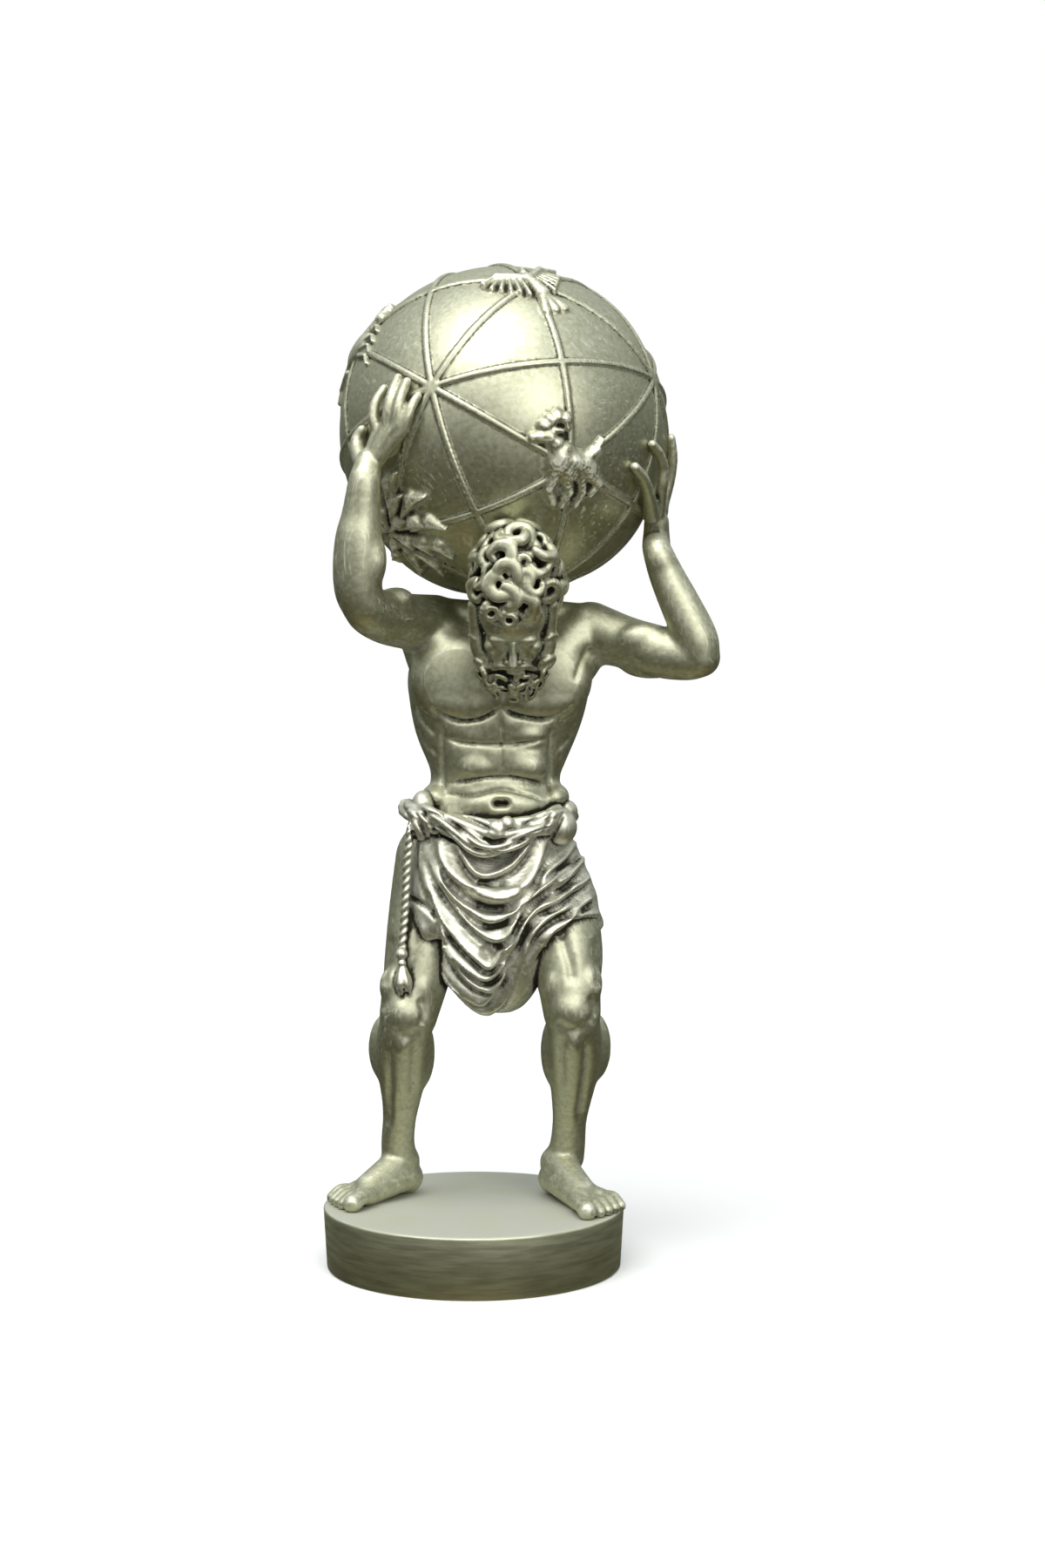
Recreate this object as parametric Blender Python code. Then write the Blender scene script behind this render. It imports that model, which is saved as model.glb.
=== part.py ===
"""Statuette of Atlas: a bearded man in a loincloth, head bowed, carries a strapped sky globe on his
shoulders and hands, and stands on a round plinth. Three castings: plinth, figure and globe."""
import itertools
import math
import random

import bmesh
import bpy
import numpy as np
from mathutils import Euler, Matrix, Vector

# Driving sizes, in metres.
PLINTH_DIAMETER = 0.151
PLINTH_HEIGHT = 0.031
PLINTH_BATTER = 0.0016
PLINTH_EDGE_ROUND = 0.0014
FIGURE_HEIGHT = 0.339
GLOBE_DIAMETER = 0.164
STRAP_WIDTH = 0.0032
STRAP_HEIGHT = 0.0013
RELIEF_HEIGHT = 0.0042
JOINT_GAP = 0.0003

# The faces that each solid keeps.
FIGURE_FACES = 5800
GLOBE_FACES = 1700
RELIEF_FACES = 180
STRAP_SEGMENTS = 4
PLINTH_SIDES = 48

# The figure is modelled in shares of its height, soles to crown. x is right, y away, z up.
SHARES_TALL = 339.0
SHARE = FIGURE_HEIGHT / SHARES_TALL
CLAY_GRAIN = 1.5
CLAY_SMOOTHING = 3

# Where the globe sits on the upper back, in shares, and the way from there to its centre.
GLOBE_SEAT = Vector((14.5, 14.0, 304.6))
GLOBE_LEAN = Vector((0.006, 0.073, 0.997)).normalized()
GLOBE_RADIUS = GLOBE_DIAMETER / 2
GLOBE_CENTRE = GLOBE_SEAT + GLOBE_LEAN * (GLOBE_RADIUS / SHARE)
STRAP_TURN = Euler([math.radians(a) for a in (17.5, -12.0, -114.6)])

# The head's own frame: bowed forward about its centre.
HEAD_CENTRE = Vector((20, -46, 296))
HEAD_BOW = math.radians(38)

ALLOY = (0.43, 0.41, 0.31)


def spline(stations, count):
    """Rows of numbers read evenly from a smooth line through the stations."""
    rows = np.array(stations, float)
    if len(rows) < 3:
        return [rows[0] + (rows[-1] - rows[0]) * i / (count - 1) for i in range(count)]
    ends = np.vstack([2 * rows[0] - rows[1], rows, 2 * rows[-1] - rows[-2]])
    found = []
    for i in range(count):
        at = i / (count - 1) * (len(rows) - 1)
        k = min(int(at), len(rows) - 2)
        t = at - k
        a, b, c, d = ends[k : k + 4]
        found.append(0.5 * (2 * b + (c - a) * t + (2 * a - 5 * b + 4 * c - d) * t * t
                            + (3 * b - a - 3 * c + d) * t ** 3))
    return found


def on_head(right, forward, up):
    """A point given in the head's own directions."""
    sine, cosine = math.sin(HEAD_BOW), math.cos(HEAD_BOW)
    return HEAD_CENTRE + Vector((right, -forward * cosine - up * sine, up * cosine - forward * sine))


def on_globe(x, y, z, lift=0.0):
    """A point over the globe's surface in that direction from its centre, in shares."""
    return GLOBE_CENTRE + Vector((x, y, z)).normalized() * (GLOBE_RADIUS / SHARE + lift)


class Clay:
    """Overlapping lumps that are later melted into one skin."""

    def __init__(self):
        self.points = []
        self.faces = []
        self.count = 0
        self.balls = {}

    def add(self, bm, placed=Matrix()):
        """Takes in a closed body, moved to its place."""
        bmesh.ops.recalc_face_normals(bm, faces=bm.faces)
        points = np.array([v.co for v in bm.verts])
        corners = np.array([[v.index for v in f.verts] for f in bm.faces])
        self.place(points, corners, placed)

    def place(self, points, corners, placed):
        moved = points @ np.array(placed.to_3x3()).T + np.array(placed.translation)
        self.points.append(moved)
        self.faces.append(corners + self.count)
        self.count += len(points)

    def ball(self, fineness):
        """The plain ball that lumps are stretched from."""
        if fineness not in self.balls:
            bm = bmesh.new()
            bmesh.ops.create_icosphere(bm, subdivisions=fineness, radius=1)
            bm.verts.index_update()
            self.balls[fineness] = (np.array([v.co for v in bm.verts]),
                                    np.array([[v.index for v in f.verts] for f in bm.faces]))
            bm.free()
        return self.balls[fineness]

    def lump(self, centre, radii, turn=(0, 0, 0), fineness=3):
        """An egg of clay."""
        turned = Euler([math.radians(a) for a in turn]).to_matrix().to_4x4()
        placed = Matrix.Translation(centre) @ turned @ Matrix.Diagonal((*radii, 1))
        self.place(*self.ball(fineness), placed)

    def roll(self, stations, fineness=3, spacing=0.45):
        """A tapering roll through stations of x, y, z and radius."""
        rows = [np.array([*s[:3], s[3]], float) for s in stations]
        length = sum(np.linalg.norm((b - a)[:3]) for a, b in zip(rows, rows[1:]))
        mean = sum(r[3] for r in rows) / len(rows)
        for x, y, z, radius in spline(rows, max(3, math.ceil(length / mean / spacing) + 1)):
            self.lump((x, y, z), (radius,) * 3, fineness=fineness)

    def stack(self, rings, sides=40, levels=24):
        """A closed body through level ovals: height, centre x and y, half width, half depth."""
        bm = bmesh.new()
        loops = []
        for height, x, y, half_width, half_depth in spline(rings, levels):
            placed = Matrix.Translation((x, y, height)) @ Matrix.Diagonal((half_width, half_depth, 1, 1))
            made = bmesh.ops.create_circle(bm, segments=sides, radius=1, matrix=placed)
            loops.append(list({e for v in made["verts"] for e in v.link_edges}))
        for below, above in zip(loops, loops[1:]):
            bmesh.ops.bridge_loops(bm, edges=below + above)
        for rim in (loops[0], loops[-1]):
            bmesh.ops.edgeloop_fill(bm, edges=rim)
        bmesh.ops.triangulate(bm, faces=bm.faces)
        bm.verts.index_update()
        self.add(bm)
        bm.free()

    def curl(self, centre, outward, size, spin, turns=1.1, fineness=2):
        """A lock of hair: a coil that winds in to a raised middle and leaves a pit beside it."""
        outward = Vector(outward).normalized()
        along = outward.orthogonal().normalized()
        across = outward.cross(along)
        beads = 9
        for i in range(beads):
            t = i / (beads - 1)
            angle = spin + t * turns * 2 * math.pi
            reach = size * (0.62 - 0.5 * t)
            place = Vector(centre) + (along * math.cos(angle) + across * math.sin(angle)) * reach
            place += outward * size * (0.15 + 0.25 * t)
            self.lump(place, (size * (0.36 - 0.06 * t),) * 3, fineness=fineness)


def evaluated_mesh(thing):
    """The object's mesh with its modifiers worked in."""
    bpy.context.view_layer.update()
    graph = bpy.context.evaluated_depsgraph_get()
    return bpy.data.meshes.new_from_object(thing.evaluated_get(graph))


def melt(name, clay, grain, smoothing):
    """One object whose skin runs over all the lumps."""
    mesh = bpy.data.meshes.new(name)
    mesh.from_pydata(np.vstack(clay.points), [], np.vstack(clay.faces))
    body = bpy.data.objects.new(name, mesh)
    bpy.context.scene.collection.objects.link(body)
    melted = body.modifiers.new("Melt", "REMESH")
    melted.mode = "VOXEL"
    melted.voxel_size = grain
    soften = body.modifiers.new("Soften", "SMOOTH")
    soften.factor = 0.5
    soften.iterations = smoothing
    body.data = evaluated_mesh(body)
    body.modifiers.clear()
    return body


class Skin:
    """Carves a mesh by moving its points along their normals."""

    def __init__(self, body):
        self.mesh = body.data
        self.read()

    def read(self):
        count = len(self.mesh.vertices)
        self.points = np.zeros(count * 3)
        self.mesh.vertices.foreach_get("co", self.points)
        self.points = self.points.reshape(-1, 3)
        self.normals = np.zeros(count * 3)
        self.mesh.vertices.foreach_get("normal", self.normals)
        self.normals = self.normals.reshape(-1, 3)

    def write(self):
        self.mesh.vertices.foreach_set("co", self.points.ravel())
        self.mesh.update()
        self.read()

    def line(self, path, width, depth, facing=(0, -1, 0), count=24, taper=True, within=None):
        """A groove, or with a negative depth a ridge, drawn on the front like a stroke: path is x and z."""
        route = np.array(spline(path, count))
        ends = np.linspace(0, 1, count)
        strength = np.clip(np.minimum(ends, 1 - ends) * 6, 0.15, 1) if taper else np.ones(count)
        seen = self.points[:, (0, 2)]
        low, high = route.min(0) - 3 * width, route.max(0) + 3 * width
        near = np.all((seen > low) & (seen < high), axis=1)
        turned = self.normals @ np.array(facing)
        near &= turned > 0.05
        if within:
            near &= (self.points[:, 1] > within[0]) & (self.points[:, 1] < within[1])
        index = np.nonzero(near)[0]
        if not len(index):
            return
        away = np.full(len(index), 1e9)
        force = np.zeros(len(index))
        for k in range(count - 1):
            a, b = route[k], route[k + 1]
            step = b - a
            share = np.clip((seen[index] - a) @ step / max(step @ step, 1e-9), 0, 1)
            gap = np.linalg.norm(seen[index] - a - share[:, None] * step, axis=1)
            closer = gap < away
            away[closer] = gap[closer]
            force[closer] = (strength[k] + (strength[k + 1] - strength[k]) * share)[closer]
        amount = depth * force * np.exp(-((away / width) ** 2)) * np.clip(turned[index] * 2.5, 0, 1)
        self.points[index] -= self.normals[index] * amount[:, None]


# The man, from the feet up. Every number is in shares of his height.
RIGHT_LEG = dict(
    thigh=[(-17, 7, 172, 22.5), (-21.5, 4, 150, 20.8), (-25.5, -3, 130, 18.6), (-29, -9, 112, 16.2),
           (-32, -14, 98, 14.6)],
    shin=[(-33, -14, 94, 13.4), (-35.6, -6, 79, 13.6), (-36, 1, 64, 12), (-36.8, 8, 52, 10),
          (-38, 13, 40, 8.6), (-39, 17, 28, 8.6), (-38.5, 19, 20, 9)],
    calves=[((-28.5, 3, 76), (9, 11, 19)), ((-43.5, 3, 78), (9.5, 10.5, 17))],
    knee=[((-33, -26, 98), (8.5, 5.5, 8.5)), ((-26, -19, 109), (7, 7, 9)), ((-39, -17, 111), (7.5, 7, 10))],
    heel=(-31, 27), toes=(-68, -13), inner=1)
LEFT_LEG = dict(
    thigh=[(31, 8, 174, 17.5), (39, 1, 150, 21.5), (45.5, -9, 130, 19), (47.5, -16, 114, 15.8),
           (49, -20, 100, 14.4)],
    shin=[(49.5, -19, 95, 13.4), (51, -9, 80, 13.6), (50, -1, 64, 12), (49.2, 6, 52, 10.2),
          (48.4, 12, 40, 8.8), (47.6, 15, 28, 9), (46.5, 17, 20, 9.6)],
    calves=[((42.5, 1, 77), (9, 11, 19)), ((59.5, 1, 79), (9.5, 10.5, 17))],
    knee=[((49, -32, 101), (8.5, 5.5, 8.5)), ((40.5, -24, 111), (7, 8, 10)), ((57, -23, 112), (7, 8, 11))],
    heel=(38, 26), toes=(66, -32), inner=-1)

TORSO = [(150, 7, 4, 40, 28), (190, 9, 3, 39, 26), (205, 10.5, 2, 33.5, 23), (215, 11, 2, 32.3, 23),
         (221, 11.5, 1.5, 34, 24), (229, 11.5, 1, 37.4, 25.5), (237, 11.7, 1, 40.5, 27),
         (246, 12.2, 1, 43, 28), (255, 12.6, 2, 44.7, 28.5), (263, 13, 3, 45.8, 28.5),
         (272, 14, 5, 45, 27.5), (282, 17, 8, 40, 25), (292, 18.5, 11, 31, 21), (300, 19, 12, 20, 15)]
CHEST = [((-6, -18, 259), (20, 11, 16)), ((-14, -16, 254), (13, 9, 12)), ((5, -18, 252), (10, 9, 10)),
         ((35, -18, 259), (19, 11, 16)), ((42, -16, 254), (13, 9, 12)), ((25, -18, 252), (10, 9, 10))]
BELLY = [((3, -16, 221), (11, 8, 9)), ((26, -16, 221), (11, 8, 9)), ((3, -18, 235), (11, 7, 7)),
         ((26, -18, 235), (11, 7, 7)), ((14, -13, 202), (24, 13, 11)), ((-18, -4, 205), (8, 12, 7)),
         ((40, -4, 205), (8, 12, 7))]
BACK = [((16, 15, 284), (36, 17, 22)), ((-14, 16, 262), (18, 12, 26)), ((40, 16, 262), (18, 12, 26)),
        ((-14, 22, 280), (14, 8, 12)), ((44, 22, 280), (14, 8, 12)),
        ((4, 19, 222), (9, 9, 28)), ((20, 19, 222), (9, 9, 28))]
SHOULDERS = [((59, 0, 287), (16, 15, 14)), ((50, -4, 283), (14, 14, 12)), ((-22, 2, 291), (15, 15, 14)),
             ((-14, -3, 284), (13, 14, 12))]
RIGHT_UPPER_ARM = [(-20, 4, 290, 15.5), (-31, -12, 292, 14), (-41, -27, 294, 13.2),
                   (-48, -40, 297, 12), (-51, -46, 300, 11)]
RIGHT_FOREARM = [(-51.5, -47, 300, 10.6), (-54, -49, 308, 11.6), (-54, -50, 320, 12.2), (-53.6, -51, 332, 11.1),
                 (-52.5, -51, 341, 9)]
LEFT_UPPER_ARM = [(58, 0, 287, 15), (75, -10, 282, 13), (91, -18, 277.5, 12.8), (104, -24, 275, 11.6),
                  (111, -27, 275, 10)]
LEFT_FOREARM = [(111, -28, 275, 9.6), (109, -28, 284, 10.6), (102, -27, 299, 10), (94.5, -25, 315, 8.2),
                (90, -23, 327, 6.7)]
ARM_MUSCLES = [((84, -20, 283), (14, 8, 9)), ((88, -12, 271), (16, 9, 7)), ((105, -30, 292), (8, 7, 13)),
               ((-47, -53, 322), (7, 7, 14)), ((-37, -27, 303), (9, 10, 6))]
# Wrists and hands are placed from the globe, as directions from its centre and heights over it.
RIGHT_WRIST = [(-0.685, -0.73, -0.41, 17.5, 7.4), (-0.695, -0.71, -0.25, 15.5, 5.9), (-0.70, -0.70, -0.17, 9, 6.4)]
LEFT_WRIST = [(0.81, -0.40, -0.61, 14, 6.6), (0.84, -0.33, -0.50, 9.5, 5.8), (0.89, -0.18, -0.42, 6.5, 6.2)]
RIGHT_FINGERS = [
    [(-0.73, -0.68, -0.06, 6, 3.4), (-0.74, -0.67, 0.02, 7, 3.3), (-0.72, -0.68, 0.14, 4.5, 2.9),
     (-0.69, -0.69, 0.23, 2.2, 2.6)],
    [(-0.69, -0.72, -0.06, 6, 3.4), (-0.67, -0.74, 0.04, 7.5, 3.3), (-0.64, -0.75, 0.18, 4.8, 2.9),
     (-0.60, -0.74, 0.30, 2.2, 2.6)],
    [(-0.65, -0.75, -0.06, 6, 3.4), (-0.61, -0.79, 0.04, 7, 3.3), (-0.58, -0.80, 0.17, 4.6, 2.9),
     (-0.55, -0.79, 0.28, 2.2, 2.6)],
    [(-0.62, -0.78, -0.08, 5, 3.2), (-0.56, -0.82, -0.01, 5.5, 3.0), (-0.52, -0.84, 0.09, 3.6, 2.7),
     (-0.49, -0.85, 0.17, 2, 2.4)]]
RIGHT_THUMB = [(-0.78, -0.60, -0.17, 6, 4.2), (-0.84, -0.52, -0.11, 4, 3.6), (-0.83, -0.55, -0.03, 2.5, 3)]
LEFT_FINGERS = [
    [(0.93, -0.14, -0.36, 5, 3.4), (0.94, -0.25, -0.21, 6, 3.3), (0.91, -0.39, -0.12, 4, 2.9),
     (0.88, -0.46, -0.06, 2.2, 2.6)],
    [(0.94, 0.00, -0.36, 5, 3.4), (0.955, 0.07, -0.23, 6, 3.3), (0.95, 0.16, -0.10, 4.2, 2.9),
     (0.94, 0.22, 0.02, 2.2, 2.6)],
    [(0.93, 0.11, -0.37, 5, 3.4), (0.93, 0.22, -0.23, 6, 3.3), (0.92, 0.31, -0.11, 4.2, 2.9),
     (0.90, 0.37, -0.01, 2.2, 2.6)],
    [(0.90, 0.20, -0.40, 4.5, 3.2), (0.90, 0.32, -0.29, 5.5, 3.0), (0.89, 0.40, -0.19, 3.8, 2.7),
     (0.87, 0.46, -0.11, 2, 2.4)]]
LEFT_THUMB = [(0.87, -0.28, -0.42, 6, 4.6), (0.83, -0.46, -0.31, 4.5, 3.5), (0.77, -0.60, -0.21, 2.4, 3)]
PALMS = [((-0.69, -0.72, -0.10), 5.5, (9.5, 4.6, 10)), ((0.92, -0.03, -0.42), 4.5, (5, 10, 9))]

# The loincloth: a stack for the wrap, a stack for the cloth that hangs between the thighs, and its folds.
WRAP = [(136, 15, -1, 46, 30), (141, 14, 0, 51.3, 32), (150, 12, 1, 49.8, 33), (158, 10, 2, 47.5, 33),
        (167, 8, 3, 45.5, 32.5), (176, 6.5, 3, 43.2, 31.5), (185, 7.5, 2, 42, 30), (196, 9, 2, 40.5, 27)]
APRON = [(97.6, 11, -2, 8, 9), (101, 11, -2, 14, 15), (108, 11, -3, 19.5, 20), (117, 11, -4, 24, 24),
         (128, 11.5, -5, 28, 27), (142, 12, -5, 32, 28), (160, 10, -3, 33, 29)]
BELT = [(-33, 2, 199, 4.6), (-29, -13, 198, 4.8), (-16, -24, 195, 4.8), (0, -28.5, 192, 5),
        (14, -29.5, 190, 5.4), (27, -27, 192, 5.4), (39, -18, 194, 5.6), (46, -3, 195, 5.6),
        (45, 14, 195, 5), (33, 26, 194, 5), (8, 31, 193, 5), (-19, 26, 194, 5), (-31, 14, 197, 4.6),
        (-33, 2, 199, 4.6)]
BELT_LAY = 62
BELT_KNOTS = [((42, -15, 190), (8, 9, 8)), ((45, -7, 198), (6, 7, 5)), ((-24.5, -12, 201), (6, 7, 8)),
              ((14, -32, 189), (6, 5, 7)), ((-25, -21, 192), (6, 4.5, 6.5)), ((24, -31, 189), (7, 4, 5))]
SWAGS = [
    ([(-9, 187), (-5, 178), (1, 170), (8, 168), (18, 172), (24, 178), (31, 188)], 2.2, 3.2),
    ([(-17, 187), (-14, 175), (-5, 165), (8, 158), (20, 159), (30, 169), (37, 187)], 3.2, 4.6),
    ([(-19, 178), (-12, 163), (-1, 152), (8, 147), (18, 150), (24, 156), (41, 167), (54, 171)], 2.4, 3.2),
    ([(-22, 178), (-16, 165), (-5, 150), (7, 139), (16, 139), (24, 152), (37, 163), (52, 165)], 2.6, 3.8),
    ([(-23, 171), (-18, 154), (-10, 141), (1, 129), (9, 124), (16, 133), (21, 143)], 2.4, 3.5),
    ([(-19, 154), (-12, 135), (-3, 124), (7, 118), (14, 124), (20, 135), (27, 146), (44, 158)], 2.4, 3.5),
    ([(-16, 146), (-12, 131), (-3, 118), (7, 112), (14, 117), (18, 128)], 2.2, 3.2),
    ([(-27, 146), (-22, 135), (-14, 122), (-5, 112), (4, 105), (10, 109), (16, 122)], 2.4, 3.8),
    ([(20, 130), (24, 143), (31, 152), (46, 156)], 2.2, 3.5),
    ([(25, 127), (30, 141), (39, 149), (52, 153)], 2.2, 3.2),
    ([(29, 126), (37, 139), (44, 144), (52, 147), (66, 146)], 2.4, 3.8),
    ([(-24, 190), (-25, 171), (-22, 156)], 2.0, 2.6), ([(-29, 190), (-30, 170), (-31, 155)], 2.0, 2.0)]
HOLLOWS = [
    ([(0, 184), (6, 179), (16, 179), (22, 186)], 5.5, 6.5), ([(2, 164), (10, 163), (18, 165)], 2.4, 3.5),
    ([(0, 154), (8, 152), (17, 154)], 2.2, 3.5), ([(5, 145), (12, 145), (18, 148)], 1.8, 2.6),
    ([(4, 134), (10, 130), (14, 135)], 3.4, 4.6), ([(60, 176), (46, 172), (38, 168)], 2.0, 2.3)]
BODY_GROOVES = [
    ([(-19, 252), (-16, 245), (-7, 241), (3, 241), (11, 245), (15, 248)], 2.2, 2.4),
    ([(15, 248), (20, 245), (29, 242), (37, 241), (45, 245), (49, 252)], 2.2, 2.4),
    ([(15, 282), (15, 266), (15, 248)], 2.4, 1.6), ([(15, 246), (15, 230), (14, 212)], 2.0, 1.3),
    ([(-10, 230), (1, 231), (15, 232), (27, 231), (37, 230)], 1.8, 1.7),
    ([(-13, 212), (-1, 214), (15, 216), (27, 214), (37, 210)], 1.8, 1.8),
    ([(-14, 207), (-1, 207), (15, 210), (29, 206), (37, 203)], 1.6, 1.6),
    ([(-13, 240), (-14, 222), (-13, 206)], 1.9, 1.7), ([(40, 240), (40, 222), (37, 203)], 1.9, 1.7),
    ([(49, 258), (53, 271), (57, 280), (63, 286)], 2.4, 1.8),
    ([(-18, 251), (-21, 264), (-20, 276), (-14, 286)], 2.6, 2.2)]


def model_leg(clay, leg):
    clay.roll(leg["thigh"])
    clay.roll(leg["shin"])
    for centre, radii in leg["calves"] + leg["knee"]:
        clay.lump(centre, radii)
    heel, toes = Vector((*leg["heel"], 0)), Vector((*leg["toes"], 0))
    along = (toes - heel).normalized()
    across = Vector((-along.y, along.x, 0)) * leg["inner"]
    length = (toes - heel).length

    def sole(ahead, inward, up):
        return heel + along * ahead * length + across * inward + Vector((0, 0, up))

    clay.lump(sole(0.10, 0, 8), (8.6, 8.6, 8.6))
    for start, end in (((0.16, 0.5, 17, 8.8), (0.62, 1.5, 6.5, 8)), ((0.2, 3, 10, 8), (0.72, 5, 5, 6)),
                       ((0.15, -3, 6, 7), (0.68, -5.5, 4.5, 5.5))):
        clay.roll([(*sole(*start[:3]), start[3]), (*sole(*end[:3]), end[3])])
    for number in range(5):
        inward = 8.2 - 4.2 * number - (1.2 if number else 0)
        reach = (0.99, 0.985, 0.95, 0.90, 0.84)[number]
        thick = (4.2, 2.9, 2.8, 2.7, 2.6)[number]
        root, knuckle, tip = (sole(reach - 0.26, inward * 0.86, 5), sole(reach - 0.11, inward, 5.2),
                              sole(reach - 0.01, inward, thick * 0.85))
        clay.roll([(*root, thick), (*knuckle, thick * 0.92), (*tip, thick)])


def model_body(clay):
    clay.stack(TORSO)
    for centre, radii in CHEST + BELLY + BACK + SHOULDERS + ARM_MUSCLES:
        clay.lump(centre, radii)
    clay.roll([(19, 8, 296, 15), (20, -8, 297, 16), (20, -28, 296, 14)])
    clay.roll([(20, 8, 296, 10), (38, 5, 294, 9), (56, 3, 293, 8)])
    clay.roll([(20, 8, 296, 10), (2, 5, 294, 9), (-16, 5, 296, 8)])
    clay.roll(RIGHT_UPPER_ARM)
    clay.roll(LEFT_UPPER_ARM)


def over_globe(stations):
    """Stations given as a direction from the globe's centre, a height over it and a radius."""
    return [(*on_globe(x, y, z, lift), radius) for x, y, z, lift, radius in stations]


def model_arms_and_hands(clay):
    clay.roll(RIGHT_FOREARM + over_globe(RIGHT_WRIST))
    clay.roll(LEFT_FOREARM + over_globe(LEFT_WRIST))
    for direction, lift, radii in PALMS:
        clay.lump(on_globe(*direction, lift), radii)
    for finger in RIGHT_FINGERS + LEFT_FINGERS + [RIGHT_THUMB, LEFT_THUMB]:
        clay.roll(over_globe(finger), fineness=2, spacing=0.7)


def model_cloth(clay):
    clay.stack(WRAP)
    clay.stack(APRON)
    clay.lump((-6, 22, 158), (24, 16, 22))
    clay.lump((26, 22, 158), (24, 16, 22))
    twist(clay, BELT, BELT_LAY, 0.72)
    for centre, radii in BELT_KNOTS:
        clay.lump(centre, radii)


ROPE = [(-30, -22, 192), (-32, -21, 176), (-33, -20.5, 158), (-34, -20, 142), (-35, -21, 130)]
ROPE_LAY = 8.0
TASSEL = [(-35, -22, 130, 2.6), (-34.5, -24, 124, 4.2), (-33.5, -25.5, 115, 4), (-33, -26, 107, 1.8)]


def twist(clay, stations, lay, spread, fineness=3):
    """Two strands laid round each other: each station gives a place and a strand's radius."""
    rows = spline(stations, 160)
    down = 0.0
    for before, here in zip(rows, rows[1:]):
        step = Vector((here - before)[:3])
        down += step.length
        aside = step.cross(Vector((0.3, 0.1, 1)) if abs(step.z) < abs(step.x) + abs(step.y)
                           else Vector((0, 1, 0))).normalized()
        up = step.normalized().cross(aside)
        for half in (0, math.pi):
            angle = down / lay * 2 * math.pi + half
            away = (aside * math.cos(angle) + up * math.sin(angle)) * here[3] * spread
            clay.lump(Vector(here[:3]) + away, (here[3] * 0.8,) * 3, fineness=fineness)


def model_rope(clay):
    """The cord that hangs from the belt, down to a tassel."""
    twist(clay, [(*place, 2.0) for place in ROPE], ROPE_LAY, 0.75, fineness=2)
    clay.roll(TASSEL)


FACE = [((0, 9, -9), (13.5, 11.5, 18)), ((0, 10, 3), (14, 12, 13)), ((0, 18, -1), (11, 3.2, 2.8)),
        ((-9.5, 13.5, -7.5), (4.2, 4.2, 3.8)), ((9.5, 13.5, -7.5), (4.2, 4.2, 3.8)),
        ((0, 13, -22), (8.5, 7, 6.5)), ((0, 14, -30), (6, 5.5, 7)), ((0, 19.3, -16.6), (4.6, 2.2, 1.3)), ((0, 18.6, -19.2), (3.8, 2.2, 1.4)),
        ((-5.8, 17.2, -4.2), (3.4, 2.2, 1.9)), ((5.8, 17.2, -4.2), (3.4, 2.2, 1.9))]
NOSE = [(0, 19.8, -1.5, 1.8), (0, 22.2, -6, 2.0), (0, 24.4, -10.2, 2.6)]


def model_head(clay):
    bow = (math.degrees(HEAD_BOW), 0, 0)
    clay.lump(on_head(0, -2, 4), (18, 22, 21), bow)
    for centre, radii in FACE:
        clay.lump(on_head(*centre), radii, bow)
    clay.roll([(*on_head(x, f, u), r) for x, f, u, r in NOSE])
    for side in (-1, 1):
        clay.lump(on_head(2.6 * side, 21.5, -10.8), (1.7, 1.9, 1.6), bow)


HAIR_CENTRE = (0, -3, 12)
HAIR_RADII = (20, 24, 24.5)


def hair_places(count):
    """Even directions over the scalp, in the head's frame, leaving out the face and the neck."""
    places = []
    for i in range(count):
        up = 1 - 2 * (i + 0.5) / count
        around = i * math.pi * (3 - math.sqrt(5))
        level = math.sqrt(1 - up * up)
        right, forward = level * math.sin(around), level * math.cos(around)
        on_face = forward > 0.25 and up < -0.12 and abs(right) < 0.80
        on_neck = forward < 0.1 and up < -0.6
        if not on_face and not on_neck and up > -0.85:
            places.append(Vector((right, forward, up)))
    return places


def model_hair(clay, count=66, size=5.4):
    """A full head of hair in coiled locks, the largest over the brow."""
    chance = random.Random(7)
    clay.lump(on_head(*HAIR_CENTRE), [r - 0.5 for r in HAIR_RADII], (math.degrees(HEAD_BOW), 0, 0))
    for place in hair_places(count):
        reach = Vector(p * r + c for p, r, c in zip(place, HAIR_RADII, HAIR_CENTRE))
        outward = on_head(*(reach + place)) - on_head(*reach)
        front = 0.12 * max(0, place.y)
        jitter = Vector((chance.uniform(-1, 1), chance.uniform(-1, 1), chance.uniform(-1, 1)))
        clay.curl(on_head(*reach) + jitter, outward, size * (chance.uniform(0.85, 1.15) + front),
                  chance.uniform(0, 6.28))


def model_beard(clay, size=4.2):
    """Coiled locks down the cheeks and round the chin, and a moustache."""
    chance = random.Random(11)
    rows = ((-6, 3, 16, 2), (-13, 8, 15, 2), (-19, 14, 12.5, 4), (-26, 17, 9.5, 4), (-32, 17, 6, 3),
            (-37, 15, 2.5, 2))
    for up, forward, spread, number in rows:
        for i in range(number):
            side = -1 + 2 * i / (number - 1)
            ahead = forward + 5 * (1 - side * side)
            outward = on_head(side * 1.3, 1, -0.4) - on_head(0, 0, 0)
            clay.curl(on_head(side * spread, ahead, up), outward, size * chance.uniform(0.9, 1.15),
                      chance.uniform(0, 6.28))
    for side in (-1, 1):
        clay.roll([(*on_head(1.2 * side, 22, -14), 1.6), (*on_head(6 * side, 19, -15.5), 2.2),
                   (*on_head(10 * side, 15.5, -20), 1.8)], fineness=2)


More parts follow.
